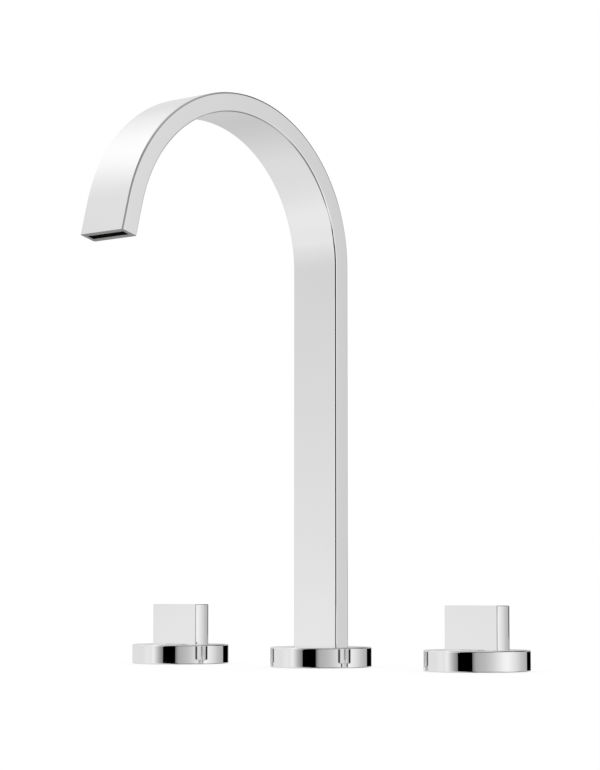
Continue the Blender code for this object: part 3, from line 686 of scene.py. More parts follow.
def set_screw(name, node, place):
    """A headless screw at x = place, its point to the front and its key socket behind."""
    low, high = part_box(node)
    length = high.y - low.y
    profile = [(screw_radius - 0.6 * mm, 0), (screw_radius, 0.5 * mm)]
    level = 0.8 * mm
    while level < length - 0.6 * mm:
        profile += [(screw_radius, level), (screw_radius - ridge_depth, level + ridge_width / 2),
                    (screw_radius, level + ridge_width)]
        level += ridge_pitch
    profile += [(screw_radius, length - screw_chamfer), (screw_radius - screw_chamfer, length)]
    screw = turned(name, profile, sides=32)
    key = add_rod("key", 0.87 * mm, (0, 0, length / 2), (0, 0, length + overrun), 6)
    weigh_normals(cut(screw, key))
    return laid(screw, (place, low.y, middle_of(node).z), (0, 1, 0))


dress_pair(set_screw("hot_set_screw", "hot_handle_screw", x), "set_screw", "*_handle",
           "handle_screw", "steel")
dress(set_screw("spout_set_screw", "spout_lock_screw", 0), "faucet", "spout_lock_screw", "steel")

# %% [markdown]
# ## The cartridges
# Turning the handle turns a brass spindle. A tang on its lower end drives a ceramic disc
# over a fixed one, and water passes where their holes meet. An open clip keeps the
# spindle from rising, a rubber ring keeps it dry above, and a slotted ring nut holds
# the whole cartridge down in the valve.

# %% Spindles
spindle_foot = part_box("hot_spindle")[0].z
spline_foot = adapter_low.z
spline_radius = 4.2 * mm
spline_count = 40              # ridges and hollows together
clip_low, clip_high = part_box("hot_spindle_clip")
clip_room = 0.2 * mm           # above and below the clip in its groove
clip_groove = spindle_radius - 1 * mm
stem_ring_level = middle_of("hot_spindle_o_ring").z
stem_groove = 2.6 * mm
stem_end = spindle_foot + 1.5 * mm
drive_half = Vector((1.2 * mm, 4.0 * mm, 0))
profile = [(spline_radius - 0.6 * mm, spline_foot + 0.2 * mm), (spline_radius, spline_foot),
           (spindle_radius, spline_foot - 0.3 * mm)]
for root, top, bottom in ((clip_groove, clip_high.z + clip_room, clip_low.z - clip_room),
                          (stem_groove, stem_ring_level + groove_half,
                           stem_ring_level - groove_half)):
    profile += [(spindle_radius, top), (root, top), (root, bottom), (spindle_radius, bottom)]
profile += [(spindle_radius, stem_end + 0.5 * mm), (spindle_radius - 0.5 * mm, stem_end)]
spindle = turned("hot_stem", profile, (x, 0))
splines = add_rod("splines", spline_radius, (x, 0, spline_foot - 0.5 * mm),
                  (x, 0, spindle_top), spline_count)
open_up(splines)
pick_edges(lambda a, b: upright(a, b)
           and round(degrees(atan2(a.y, a.x - x)) * spline_count / 360) % 2 == 0)
bpy.ops.transform.resize(value=(0.9, 0.9, 1), center_override=(x, 0, 0))
close_up(splines)
drive = add_block("drive", Vector((x, 0, spindle_foot)) - drive_half,
                  Vector((x, 0, stem_end + overrun)) + drive_half)
unite(spindle, splines, drive)
dress_pair(weigh_normals(spindle), "stem", "*_handle", "spindle", "brass")


# %% Rubber rings
def o_ring(name, node, centre=(0, 0)):
    """A round cord ring, a little flattened where its groove squeezes it."""
    half = ring_section / 2
    middle = size_of(node).x / 2 - half
    level = middle_of(node).z
    profile = []
    for i in range(16):
        turn = 2 * pi * (i + 0.5) / 16
        squeeze = 0.96 + 0.04 * abs(sin(turn))
        flash = 1.0 if i not in (7, 8) else 1.02
        profile.append((middle + half * cos(turn) * squeeze * flash, level + half * sin(turn)))
    return turned(name, profile, centre, bored=True)


ring = o_ring("hot_stem_ring", "hot_spindle_o_ring", (x, 0))
dress_pair(ring, "stem_ring", "*_handle", "spindle_o_ring", "rubber")
for name in ("upper", "lower"):
    ring = o_ring(f"spigot_{name}_ring", f"spout_{name}_o_ring")
    dress(ring, "faucet", f"spout_{name}_o_ring", "rubber")

# %% Spring clips
clip_outer = size_of("hot_spindle_clip").x / 2
clip_mouth = 4.0 * mm
clip = flat_ring("hot_stem_clip", "hot_spindle_clip", 3.8 * mm, 0.1 * mm)
mouth = add_block("mouth", (x - clip_mouth / 2, seat_gap, clip_low.z - overrun),
                  (x + clip_mouth / 2, clip_outer + overrun, clip_high.z + overrun))
cut(clip, mouth)
dress_pair(weigh_normals(clip), "stem_clip", "*_handle", "spindle_clip", "steel")

# %% Ceramic discs
disc_radius = size_of("hot_moving_disc").x / 2
disc_edge = 0.25 * mm
port_radius = 1.9 * mm
port_cutter = Vector((0, 0, 6 * mm))      # longer than a disc is high
drive_slot = Vector((drive_half.x + seat_gap, drive_half.y + seat_gap, 0))


def disc(name, node, along):
    """A ground disc with two round ports on the line along."""
    low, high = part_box(node)
    profile = [(disc_radius - disc_edge, high.z), (disc_radius, high.z - disc_edge),
               (disc_radius, low.z + disc_edge), (disc_radius - disc_edge, low.z)]
    piece = turned(name, profile, (x, 0), 96)
    reach = Vector(along) * (drive_slot.x + disc_radius) / 2
    ports = []
    for side in (-1, 1):
        foot = Vector((x, 0, low.z - overrun)) + reach * side
        ports.append(add_rod("port", port_radius, foot, foot + port_cutter))
    return cut(piece, *ports)


moving = disc("hot_turning_disc", "hot_moving_disc", (1, 0, 0))
slot = add_block("slot", Vector((x, 0, spindle_foot - seat_gap)) - drive_slot,
                 Vector((x, 0, 0)) + drive_slot)
cut(moving, slot)
dress_pair(weigh_normals(moving), "turning_disc", "*_handle", "moving_disc", "ceramic")
fixed = weigh_normals(disc("hot_still_disc", "hot_fixed_disc", (0, 1, 0)))
dress_pair(fixed, "still_disc", "faucet", "fixed_disc", "ceramic")

# %% Seat seals
seal = flat_ring("hot_seat_ring", "hot_seat_seal", disc_radius - 2.2 * mm, 0.3 * mm)
dress_pair(seal, "seat_ring", "faucet", "seat_seal", "rubber")

# %% Cartridge housings
house_low, house_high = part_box("hot_cartridge_housing")
house_radius = size_of("hot_cartridge_housing").x / 2
guide_radius = 4.8 * mm        # of the hole that guides the spindle
chamber_radius = 7.5 * mm
guide_end = house_high.z - 20 * mm
waist_end = guide_end - 8.4 * mm
port_level = -50.0 * mm
window_half = Vector((3.5 * mm, 12 * mm, 3.5 * mm))     # through both walls
window_corner = 1.2 * mm
profile = [(house_radius - 0.3 * mm, house_high.z), (house_radius, house_high.z - 0.3 * mm),
           (house_radius, guide_end), (house_radius - lead, guide_end - lead),
           (house_radius - lead, waist_end + lead), (house_radius, waist_end),
           (house_radius, house_low.z), (chamber_radius, house_low.z),
           (chamber_radius, guide_end), (guide_radius, guide_end),
           (guide_radius, house_high.z - lead), (guide_radius + lead, house_high.z)]
house = turned("hot_cage", profile, (x, 0), 96, bored=True)
port_middle = Vector((x, 0, port_level))
window = add_block("window", port_middle - window_half, port_middle + window_half)
cut(house, round_edges(window, window_corner, 4, lambda a, b: abs(a.y - b.y) > 1 * mm))
dress_pair(weigh_normals(house), "cage", "faucet", "cartridge_housing", "brass")

# %% Ring nuts
nut_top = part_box("hot_cartridge_nut")[1].z
key_half, key_depth = 1 * mm, 1.5 * mm
key_out = 12 * mm              # past the nut on both sides
ring_nut = flat_ring("hot_ring_nut", "hot_cartridge_nut", 6.2 * mm, 0.25 * mm, 96)
key_slot = add_block("key_slot", (x - key_out, -key_half, nut_top - key_depth),
                     (x + key_out, key_half, nut_top + overrun))
cut(ring_nut, key_slot)
dress_pair(weigh_normals(ring_nut), "ring_nut", "faucet", "cartridge_nut", "brass")

# %% [markdown]
# ## The valve bodies
# Each body is one brass casting, machined where something screws on or slides in: the
# long threaded shank that passes the deck, the bore for the cartridge, the inlet below
# and the port towards the spout. The cast belly keeps its rough skin, and two flats on
# it take a wrench. The cold one is the hot one turned half round the spout.

# %% Sizes of the valve bodies
valve_low, valve_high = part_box("hot_valve_body")
valve_reach = valve_high.x - x
shank_radius = 12.0 * mm
shank_core = shank_radius - thread_depth
belly_radius = 15.0 * mm
belly_round = 2.0 * mm
belly_top = -38.0 * mm
belly_bottom = -70.0 * mm
belly_out = 20 * mm            # past the belly on every side
flat_half = 14.2 * mm          # half the width over the wrench flats
flat_low, flat_high = -67 * mm, -57 * mm
inlet_radius = 10.4 * mm
inlet_core = inlet_radius - thread_depth
inlet_bore = 5.5 * mm
cartridge_bore = 9.5 * mm
bore_foot = -66 * mm
gallery_radius = 11.5 * mm     # the wider ring round the cartridge's window
gallery_low, gallery_high = -57 * mm, -43 * mm
port_outer = 7.0 * mm
port_bore = 5.3 * mm
port_way = 4.0 * mm
port_tip = 0.3 * mm
tube_insert = 6.0 * mm         # how far a tube goes into its port


# %% An arm with a threaded port
def port_arm(root_radius, root_end, thread_start, reach):
    """Made upright: a thicker root, a shoulder, and the core of a thread."""
    core = port_outer - thread_depth
    return turned("arm", [(root_radius, 0), (root_radius, root_end),
                          (port_outer, thread_start - 0.6 * mm), (core, thread_start),
                          (core, reach - port_tip), (core - port_tip, reach)])


def port_socket(mouth, outward, level):
    """The cutter that leaves room for a tube's end. It passes the mouth as far."""
    return add_rod("socket", port_bore, (mouth - outward * (tube_insert + seat_gap), 0, level),
                   (mouth + outward * tube_insert, 0, level))


# %% Cast and machine the hot valve
profile = [(shank_core - 0.2 * mm, valve_high.z), (shank_core, valve_high.z - lead),
           (shank_core, belly_top + 2 * mm), (shank_radius, belly_top + 1 * mm),
           (shank_radius, belly_top)]
profile += arc(belly_radius - belly_round, belly_top - belly_round, belly_round, 90, 0)
profile += arc(belly_radius - belly_round, belly_bottom + belly_round, belly_round, 0, -90)
profile += [(inlet_radius, belly_bottom), (inlet_core, belly_bottom - 1.5 * mm),
            (inlet_core, valve_low.z + lead), (inlet_core - lead, valve_low.z)]
valve = turned("hot_valve", profile, (x, 0), 96)
arm = port_arm(port_outer + 1 * mm, belly_radius - 1 * mm, belly_radius + 1.6 * mm, valve_reach)
unite(valve, laid(arm, port_middle, (1, 0, 0)))
flats = [add_block("flat", (x - belly_out, side * flat_half, flat_low),
                   (x + belly_out, side * belly_out, flat_high)) for side in (-1, 1)]
inside = turned("inside", [(cartridge_bore, valve_high.z + overrun),
                           (cartridge_bore, gallery_high), (gallery_radius, gallery_high),
                           (gallery_radius, gallery_low), (cartridge_bore, gallery_low),
                           (cartridge_bore, bore_foot), (inlet_bore, bore_foot),
                           (inlet_bore, valve_low.z - overrun)], (x, 0))
passage = add_rod("passage", port_way, port_middle, (valve_high.x + tube_insert, 0, port_level))
cut(valve, *flats, inside, passage, port_socket(x + valve_reach, 1, port_level))
soften(valve, 0.2 * mm)

# %% Wind its three threads
port_thread_start = belly_radius + 1.6 * mm
joined(valve,
       thread(shank_radius, valve_high.z - belly_top - 2 * mm, (x, 0, belly_top + 2.6 * mm)),
       thread(inlet_radius, belly_bottom - valve_low.z - 1.5 * mm, (x, 0, valve_low.z + 0.5 * mm)),
       thread(port_outer, valve_reach - port_thread_start,
              (x + port_thread_start + 0.2 * mm, 0, port_level), (1, 0, 0), 48))
dress_pair(valve, "valve", "faucet", "valve_body", "brass", turn=pi)

# %% [markdown]
# ## What grips the deck
# From below, a rubber washer, a steel washer and a hexagon nut clamp each station to
# the deck. A nut starts as a six-sided bar. The cone that a lathe gives its two faces
# is the part that it shares with a turned blank, and then it is bored and threaded.

# %% Washers
for node, name, slot, edge in (("rubber_washer", "soft_washer", "rubber", 0.5 * mm),
                               ("steel_washer", "hard_washer", "steel", 0.2 * mm)):
    washer = flat_ring(f"hot_{name}", f"hot_{node}", shank_bore, edge, 96)
    dress_three(washer, name, node, slot)


# %% Hexagon nuts
def hexagon_nut(name, flats, height, bore):
    """A chamfered nut, made upright from the origin up, with the given bore profile."""
    corner = flats / 2 / cos(pi / 6)
    face = 0.48 * flats            # radius of what the lathe's cone leaves flat
    drop = (corner - face) * tan(radians(30))
    wide = corner + 10 * speck
    nut = add_rod(name, corner, (0, 0, 0), (0, 0, height), 6)
    blank = turned("blank", [(face, 0), (wide, drop), (wide, height - drop), (face, height)],
                   sides=96)
    boolean(nut, 'INTERSECT', blank)
    cut(nut, turned("bore", bore))
    return soften(nut, 0.1 * mm, angle=25)


deck_nut_flats = 36 * mm       # from one flat to the opposite one
low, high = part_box("hot_deck_nut")
height = high.z - low.z
mouth_radius = shank_bore + thread_depth
bore = [(mouth_radius, -overrun), *grooved(shank_bore, 0, height), (mouth_radius, height + overrun)]
deck_nut = laid(hexagon_nut("hot_big_nut", deck_nut_flats, height, bore), (x, 0, low.z), (0, 0, 1))
dress_three(deck_nut, "big_nut", "deck_nut", "brass")

# %% [markdown]
# ## The spout's base and the tee
# The spout plugs into a brass base whose head sits in the flange. Its threaded shank
# goes through the deck, and a union nut draws a tee against its end with a rubber seal
# between. The tee is a casting too: a round belly with an arm for each supply.

# %% Spout base
base_low, base_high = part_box("spout_base")
head_radius = size_of("spout_base").x / 2
head_edge = 0.5 * mm
spigot_bore = spigot_radius + seat_gap
main_way = 6 * mm              # radius of the mixed water's way
profile = [(head_radius - head_edge, base_high.z), (head_radius, base_high.z - head_edge),
           (head_radius, ledge_height + 0.3 * mm), (head_radius - 0.3 * mm, ledge_height),
           (shank_radius, ledge_height), (shank_radius, -1 * mm), (shank_core, -2 * mm),
           (shank_core, base_low.z + lead), (shank_core - lead, base_low.z),
           (main_way, base_low.z), (main_way, spigot_end - seat_gap),
           (spigot_bore, spigot_end - seat_gap), (spigot_bore, base_high.z - head_edge),
           (spigot_bore + head_edge, base_high.z)]
base = turned("spout_foot", profile, sides=96, bored=True)
cut(base, add_rod("lock_hole", screw_clearance, (0, 0, lock_level),
                  (0, head_radius + overrun, lock_level)))
weigh_normals(base)
joined(base, thread(shank_radius, -2 * mm - base_low.z, (0, 0, base_low.z + 0.5 * mm)))
dress(base, "faucet", "spout_base", "brass")

# %% Seal and union nut of the tee
seal = flat_ring("tee_ring", "tee_seal", main_way, 0.3 * mm, centre=(0, 0))
dress(seal, "faucet", "tee_seal", "rubber")
low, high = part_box("tee_union_nut")
height = high.z - low.z
union_nut_flats = 32 * mm
lip = 3.0 * mm                 # below its thread, where it bears on the tee's collar
neck_hole = 9.8 * mm
neck_lead = 0.3 * mm
bore = [(neck_hole + neck_lead, -overrun), (neck_hole + neck_lead, 0), (neck_hole, neck_lead),
        (neck_hole, lip), *grooved(shank_bore, lip, height), (mouth_radius, height + overrun)]
union_nut = laid(hexagon_nut("tee_big_nut", union_nut_flats, height, bore), (0, 0, low.z), (0, 0, 1))
dress(union_nut, "faucet", "tee_union_nut", "brass")

# %% Tee
tee_low, tee_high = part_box("tee_manifold")
tee_level = middle_of("hot_tee_port_nut").z
tee_reach = tee_high.x
neck_radius = 9.5 * mm
shoulder = -61.2 * mm
collar_foot = -57.6 * mm
profile = [(shank_radius - 0.3 * mm, tee_high.z), (shank_radius, tee_high.z - 0.3 * mm),
           (shank_radius, collar_foot), (neck_radius, collar_foot), (neck_radius, shoulder)]
profile += arc(shank_radius - 0.8 * mm, shoulder - 0.8 * mm, 0.8 * mm, 90, 0, 3)
profile += arc(shank_radius - 2.5 * mm, tee_low.z + 2.5 * mm, 2.5 * mm, 0, -90)
tee = turned("tee", profile, sides=96)
tee_thread_start = shank_radius + 2.2 * mm
for side in (-1, 1):
    arm = port_arm(port_outer + 0.8 * mm, shank_radius + 0.4 * mm, tee_thread_start, tee_reach)
    unite(tee, laid(arm, (0, 0, tee_level), (side, 0, 0)))
down = add_rod("down", main_way, (0, 0, tee_level), (0, 0, tee_high.z + overrun))
across = add_rod("across", port_way, (-tee_reach - tube_insert, 0, tee_level),
                 (tee_reach + tube_insert, 0, tee_level))
cut(tee, down, across, *[port_socket(side * tee_reach, side, tee_level) for side in (-1, 1)])
soften(tee, 0.2 * mm)
for side in (-1, 1):
    joined(tee, thread(port_outer, tee_reach - tee_thread_start,
                       (side * (tee_thread_start + 0.2 * mm), 0, tee_level), (side, 0, 0), 48))
dress(tee, "faucet", "tee_manifold", "brass")

# %% [markdown]
# ## The copper tubes
# Two formed tubes carry hot and cold water down to the tee. A plumber's bender makes
# such a tube from straight stretches and bends of one radius, and the code does the
# same: a circle is drawn out straight, spun through a bend, drawn out again, bent back
# and drawn out to its end. A Solidify modifier gives it its wall.

# %% Where a tube runs
tube_radius = 5.0 * mm
tube_wall = 1.0 * mm
tube_lead = 2.0 * mm           # straight stretch between a nut and a bend
bend_radius = 12.0 * mm
port_nut_length = 15.0 * mm
port_nut_hold = 7.0 * mm       # how much of it is over the port
nut_reach = port_nut_length - port_nut_hold
valve_mouth = valve_high.x
start = valve_mouth - tube_insert
first_bend = valve_mouth + nut_reach + tube_lead
last_bend = -tee_reach - nut_reach - tube_lead
run = last_bend - first_bend
fall = port_level - tee_level
reach = sqrt(run * run + (fall - 2 * bend_radius) ** 2)
slope = atan2(fall - 2 * bend_radius, run) + asin(2 * bend_radius / reach)
straight = sqrt(reach * reach - 4 * bend_radius * bend_radius)
print("a tube slopes", round(degrees(slope), 1), "degrees for", round(straight / mm, 1), "mm")


# %% Crossover tubes
def draw_out(along, down=0):
    bpy.ops.mesh.extrude_region_move(TRANSFORM_OT_translate={"value": (along, 0, -down)})


deselect()
bpy.ops.mesh.primitive_circle_add(vertices=48, radius=tube_radius, fill_type='NGON',
                                  location=(start, 0, port_level), rotation=(0, pi / 2, 0))
tube = started("hot_crossover")
open_up(tube)
draw_out(first_bend - start)
bpy.ops.mesh.spin(steps=18, angle=slope, center=(first_bend, 0, port_level - bend_radius),
                  axis=(0, -1, 0))
draw_out(straight * cos(slope), straight * sin(slope))
bpy.ops.mesh.spin(steps=18, angle=slope, center=(last_bend, 0, tee_level + bend_radius),
                  axis=(0, 1, 0))
draw_out(tube_insert - tee_reach - last_bend)
pick_faces(lambda middle, normal: abs(normal.x) > 0.99)
bpy.ops.mesh.delete(type='ONLY_FACE')
close_up(tube)
wall = tube.modifiers.new("wall", 'SOLIDIFY')
wall.thickness = tube_wall
wall.offset = -1
apply_all(tube)
soften(tube, 0.15 * mm, angle=60)
dress_pair(tube, "crossover", "faucet", "crossover_tube", "copper", turn=pi)

# %% [markdown]
# Each end of a tube is sealed by a compression fitting: a soft brass olive slides over
# the tube, and the nut crushes it into the port's mouth.

# %% Olives and port nuts
port_nut_flats = 19 * mm
olive_length = 4.0 * mm
olive_cone = 1.2 * mm
olive_edge = port_outer - 0.1 * mm
olive_profile = [(port_bore, 0), (port_bore + lead, 0), (olive_edge, olive_cone),
                 (port_outer, olive_cone + 0.3 * mm),
                 (port_outer, olive_length - olive_cone - 0.3 * mm),
                 (olive_edge, olive_length - olive_cone),
                 (port_bore + lead, olive_length), (port_bore, olive_length)]
port_nut_radius = port_outer + seat_gap
lip_start = port_nut_hold + olive_length + 2 * seat_gap
port_nut_bore = [(port_nut_radius + thread_depth, -overrun),
                 *grooved(port_nut_radius, 0, port_nut_hold),
                 (port_nut_radius, port_nut_hold + 0.2 * mm), (port_nut_radius, lip_start),
                 (port_bore, lip_start), (port_bore, port_nut_length - lead),
                 (port_bore + lead, port_nut_length),
                 (port_bore + lead, port_nut_length + overrun)]
for place, level, outward, mouth in (("valve", port_level, 1, valve_mouth),
                                     ("tee", tee_level, -1, -tee_reach)):
    olive = turned(f"hot_{place}_olive", olive_profile, bored=True)
    laid(olive, (mouth + outward * seat_gap, 0, level), (outward, 0, 0))
    dress_pair(olive, f"{place}_olive", "faucet", f"{place}_port_olive", "brass", turn=pi)
    nut = hexagon_nut(f"hot_{place}_side_nut", port_nut_flats, port_nut_length, port_nut_bore)
    laid(nut, (mouth - outward * port_nut_hold, 0, level), (outward, 0, 0))
    dress_pair(nut, f"{place}_side_nut", "faucet", f"{place}_port_nut", "brass", turn=pi)

# %% [markdown]
# ## Finishes
# No metal is one flat colour. What makes a finish look real is small: polishing leaves
# faint streaks, a lathe leaves rings, a casting has a skin, brass and copper tarnish in
# patches. These effects are shader node groups, built once and placed in each material
# with its own values. All of them read Object coordinates, which are metres here.

# %% Node helpers
def feed(tree, socket, value):
    """Give a socket a number of its own, or a link from another socket."""
    if isinstance(value, (int, float)):
        socket.default_value = value
    else:
        tree.links.new(value, socket)


def math(tree, operation, *values, clamp=False):
    node = tree.nodes.new("ShaderNodeMath")
    node.operation = operation
    node.use_clamp = clamp
    for socket, value in zip(node.inputs, values):
        feed(tree, socket, value)
    return node.outputs["Value"]


def spread_out(tree, value, low, high, to_low=0.0, to_high=1.0):
    node = tree.nodes.new("ShaderNodeMapRange")
    for socket, source in (("Value", value), ("From Min", low), ("From Max", high),
                           ("To Min", to_low), ("To Max", to_high)):
        feed(tree, node.inputs[socket], source)
    return node.outputs["Result"]


def noise(tree, scale, detail, stretch=(1, 1, 1)):
    """Noise on Object coordinates, which may be stretched."""
    mapping = tree.nodes.new("ShaderNodeMapping")
    mapping.inputs["Scale"].default_value = stretch
    place = tree.nodes.new("ShaderNodeTexCoord").outputs["Object"]
    tree.links.new(place, mapping.inputs["Vector"])
    node = tree.nodes.new("ShaderNodeTexNoise")
    tree.links.new(mapping.outputs["Vector"], node.inputs["Vector"])
    feed(tree, node.inputs["Scale"], scale)
    node.inputs["Detail"].default_value = detail
    return node.outputs["Fac"]


def new_group(name, inputs, outputs):
    group = bpy.data.node_groups.new(name, 'ShaderNodeTree')
    for socket, value in inputs.items():
        item = group.interface.new_socket(socket, in_out='INPUT', socket_type='NodeSocketFloat')
        item.default_value = value
    for socket in outputs:
        group.interface.new_socket(socket, in_out='OUTPUT', socket_type='NodeSocketFloat')
    entry = group.nodes.new("NodeGroupInput")
    leave = group.nodes.new("NodeGroupOutput")
    return group, entry.outputs, leave.inputs


# %% The effects
def make_effect(name, *layers):
    """Each layer is one noise: its name, scale, detail, stretch, and the span it keeps."""
    scales = {f"{layer} Scale": scale for layer, scale, *_ in layers}
    group, inputs, outputs = new_group(name, scales, [layer for layer, *_ in layers])
    for layer, _, detail, stretch, span in layers:
        value = noise(group, inputs[f"{layer} Scale"], detail, stretch)
        group.links.new(spread_out(group, value, *span) if span else value, outputs[layer])
    return group


def make_tarnish():
    """Patches where the metal has dulled, and small spots inside them."""
    group, inputs, outputs = new_group("tarnish", {"Patch Scale": 60.0, "Spot Scale": 700.0,
                                                   "Amount": 0.5}, ["Mask"])
    patches = spread_out(group, noise(group, inputs["Patch Scale"], 5.0), 0.42, 0.68)
    spots = spread_out(group, noise(group, inputs["Spot Scale"], 3.0), 0.45, 0.6)
    dulled = math(group, 'ADD', patches, math(group, 'MULTIPLY', spots, 0.35), clamp=True)
    group.links.new(math(group, 'MULTIPLY', dulled, inputs["Amount"]), outputs["Mask"])
    return group


even = (1, 1, 1)
effects = {
    # Streaks of the polishing wheel, and a broad unevenness of the plating.
    "polish": make_effect("polish", ("Streaks", 900.0, 4.0, (0.15, 0.15, 1), (0.35, 0.65)),
                          ("Clouds", 45.0, 2.0, even, (0.3, 0.7))),
    # Fine rings round the upright axis, as a turning tool leaves them.
    "lathe_marks": make_effect("lathe_marks", ("Rings", 2500.0, 2.0, (0.03, 0.03, 1), (0.35, 0.65))),
    # Fine streaks along a tube, from the die that it was drawn through.
    "die_marks": make_effect("die_marks", ("Streaks", 1800.0, 3.0, (0.04, 1, 1), None)),
    # Fine even grain of a mould, a kiln or a sand casting, and dust that lies on it.
    "grain": make_effect("grain", ("Grain", 2500.0, 2.0, even, None),
                         ("Dust", 120.0, 5.0, even, (0.45, 0.75))),
    "tarnish": make_tarnish(),
}
print("effects:", sorted(effects))


# %% Building a finish
def use_effect(tree, name, output, values={}):
    """One output of an effect's group, placed with its own values."""
    node = tree.nodes.new("ShaderNodeGroup")
    node.node_tree = effects[name]
    for socket, value in values.items():
        node.inputs[socket].default_value = value
    return node.outputs[output]


def new_material(name, metallic):
    material = bpy.data.materials.new(name)
    material.use_nodes = True
    shader = material.node_tree.nodes["Principled BSDF"]
    shader.inputs["Metallic"].default_value = metallic
    return material, material.node_tree, shader


def set_colour(tree, shader, patches, first, second):
    """The first colour, and the second one where the patches are."""
    node = tree.nodes.new("ShaderNodeMix")
    node.data_type = 'RGBA'
    node.inputs["A"].default_value = (*first, 1)
    node.inputs["B"].default_value = (*second, 1)
    tree.links.new(patches, node.inputs["Factor"])
    tree.links.new(node.outputs["Result"], shader.inputs["Base Color"])


def set_roughness(tree, shader, marks, rough, span=(0, 1), patches=None, dulling=0.0):
    """It runs over rough where the marks run over span, and patches add some dulling."""
    value = spread_out(tree, marks, *span, *rough)
    if patches is not None:
        value = math(tree, 'ADD', value, math(tree, 'MULTIPLY', patches, dulling))
    tree.links.new(value, shader.inputs["Roughness"])


def raise_bump(tree, shader, height, strength, distance):
    node = tree.nodes.new("ShaderNodeBump")
    node.inputs["Strength"].default_value = strength
    node.inputs["Distance"].default_value = distance
    tree.links.new(height, node.inputs["Height"])
    tree.links.new(node.outputs["Normal"], shader.inputs["Normal"])


# %% [markdown]
# Chrome and steel are polished, so they differ in colour, shine and the size of their
# streaks. The streaks stand up a little from steel. Those of the chrome are too fine to
# bend a reflection, and only the broad unevenness of its plating does that. The cut end
# of the outlet is ground flat and left satin, so it reads much darker.

# %% Polished metals
chrome_level = 0.88


def make_polished(name, first, second, rough, relief, bump, scales={}):
    material, tree, shader = new_material(name, 1.0)
    set_colour(tree, shader, use_effect(tree, "polish", "Clouds", scales), first, second)
    set_roughness(tree, shader, use_effect(tree, "polish", "Streaks", scales), rough)
    raise_bump(tree, shader, use_effect(tree, "polish", relief, scales), *bump)
    return material


chrome = make_polished("polished_chrome", (chrome_level + 0.004,) * 3, (chrome_level - 0.004,) * 3,
                       (0.022, 0.036), "Clouds", (0.02, 0.01 * mm))
ground_chrome = make_polished("ground_chrome", (0.33,) * 3, (0.27,) * 3, (0.22, 0.34),
                              "Streaks", (0.1, 0.02 * mm), {"Streaks Scale": 2500.0})
steel = make_polished("stainless_steel", (0.58, 0.58, 0.59), (0.48, 0.48, 0.50), (0.24, 0.38),
                      "Streaks", (0.15, 0.03 * mm),
                      {"Streaks Scale": 1600.0, "Clouds Scale": 150.0})

# %% [markdown]
# Brass and copper are left bare, so they tarnish. Machined brass carries the rings of
# the lathe, cast brass the skin of a sand mould, and drawn copper the streaks of its
# die. Inside the water's way the surface is coloured nearly black, and this is painted
# shade for that deep, unlit recess.

# %% Tarnished metals
def make_tarnished(name, first, second, tarnish, marks, rough, span, dulling, bump):
    material, tree, shader = new_material(name, 1.0)
    patches = use_effect(tree, "tarnish", "Mask", tarnish)
    relief = use_effect(tree, *marks)
    set_colour(tree, shader, patches, first, second)
    set_roughness(tree, shader, relief, rough, span, patches, dulling)
    raise_bump(tree, shader, relief, *bump)
    return material


brass = make_tarnished(
    "machined_brass", (0.78, 0.58, 0.27), (0.52, 0.36, 0.16), {"Amount": 0.45},
    ("lathe_marks", "Rings"), (0.18, 0.26), (0, 1), 0.25, (0.15, 0.03 * mm))
cast_brass = make_tarnished(
    "cast_brass", (0.68, 0.49, 0.23), (0.42, 0.29, 0.14), {"Patch Scale": 90.0, "Amount": 0.8},
    ("grain", "Grain", {"Grain Scale": 1400.0}), (0.38, 0.5), (0.3, 0.7), 0.15, (0.5, 0.15 * mm))
copper = make_tarnished(
    "drawn_copper", (0.85, 0.46, 0.32), (0.45, 0.20, 0.13), {"Patch Scale": 40.0, "Amount": 0.75},
    ("die_marks", "Streaks"), (0.16, 0.28), (0.3, 0.7), 0.3, (0.15, 0.03 * mm))

# Painted shade: the inside of the water's way is coloured nearly black, in place of the shade deep
# in that recess.
painted_way_shade, tree, shader = new_material("painted_way_shade", 0.0)
way_shade_mask = use_effect(tree, "tarnish", "Mask", {"Patch Scale": 200.0, "Amount": 1.0})
set_colour(tree, shader, way_shade_mask, (0.006, 0.005, 0.004), (0.012, 0.010, 0.007))
set_roughness(tree, shader, way_shade_mask, (0.7, 0.9))
raise_bump(tree, shader, way_shade_mask, 0.2, 0.05 * mm)
shader.inputs["Specular IOR Level"].default_value = 0.1


# %% Rubber, ceramic and plastic
def make_moulded(name, grain_scale, first, second, rough, bump):
    """Dull materials differ in grain, colour and shine, and share their build."""
    material, tree, shader = new_material(name, 0.0)
    grain = use_effect(tree, "grain", "Grain", {"Grain Scale": grain_scale})
    set_colour(tree, shader, use_effect(tree, "grain", "Dust"), first, second)
    set_roughness(tree, shader, grain, rough, (0.3, 0.7))
    raise_bump(tree, shader, grain, bump, 0.05 * mm)
    return material


rubber = make_moulded("black_rubber", 2200.0, (0.022, 0.022, 0.023), (0.05, 0.048, 0.045),
                      (0.62, 0.82), 0.35)
ceramic = make_moulded("fired_ceramic", 3000.0, (0.86, 0.84, 0.79), (0.80, 0.77, 0.70),
                       (0.10, 0.18), 0.05)
plastic = make_moulded("black_plastic", 3000.0, (0.012, 0.012, 0.013), (0.02, 0.02, 0.02),
                       (0.55, 0.7), 0.15)

# %% Give every piece its finish
finishes = {"chrome": chrome, "brass": brass, "copper": copper, "steel": steel,
            "rubber": rubber, "ceramic": ceramic, "black_plastic": plastic}
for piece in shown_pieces():
    piece.data.materials.clear()
    piece.data.materials.append(finishes[piece["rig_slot"]])

# %% [markdown]
# Some pieces have a second finish: the outlet's cut end, where another tool has been, the
# inside of the water's way, which is painted nearly black as shade, the plated top of an
# adapter and the cast skin of the valves and the tee. The faces are picked by their place.

# %% Second finishes
def second_finish(piece, material, wanted, slot=1):
    """Give some faces of a piece another finish, picked by middle and normal."""
    piece.data.materials.append(material)
    picked = [face for face in piece.data.polygons if wanted(face.center, face.normal)]
    for face in picked:
        face.material_index = slot
    print(f"{piece.name}: {material.name} on {len(picked)} faces")


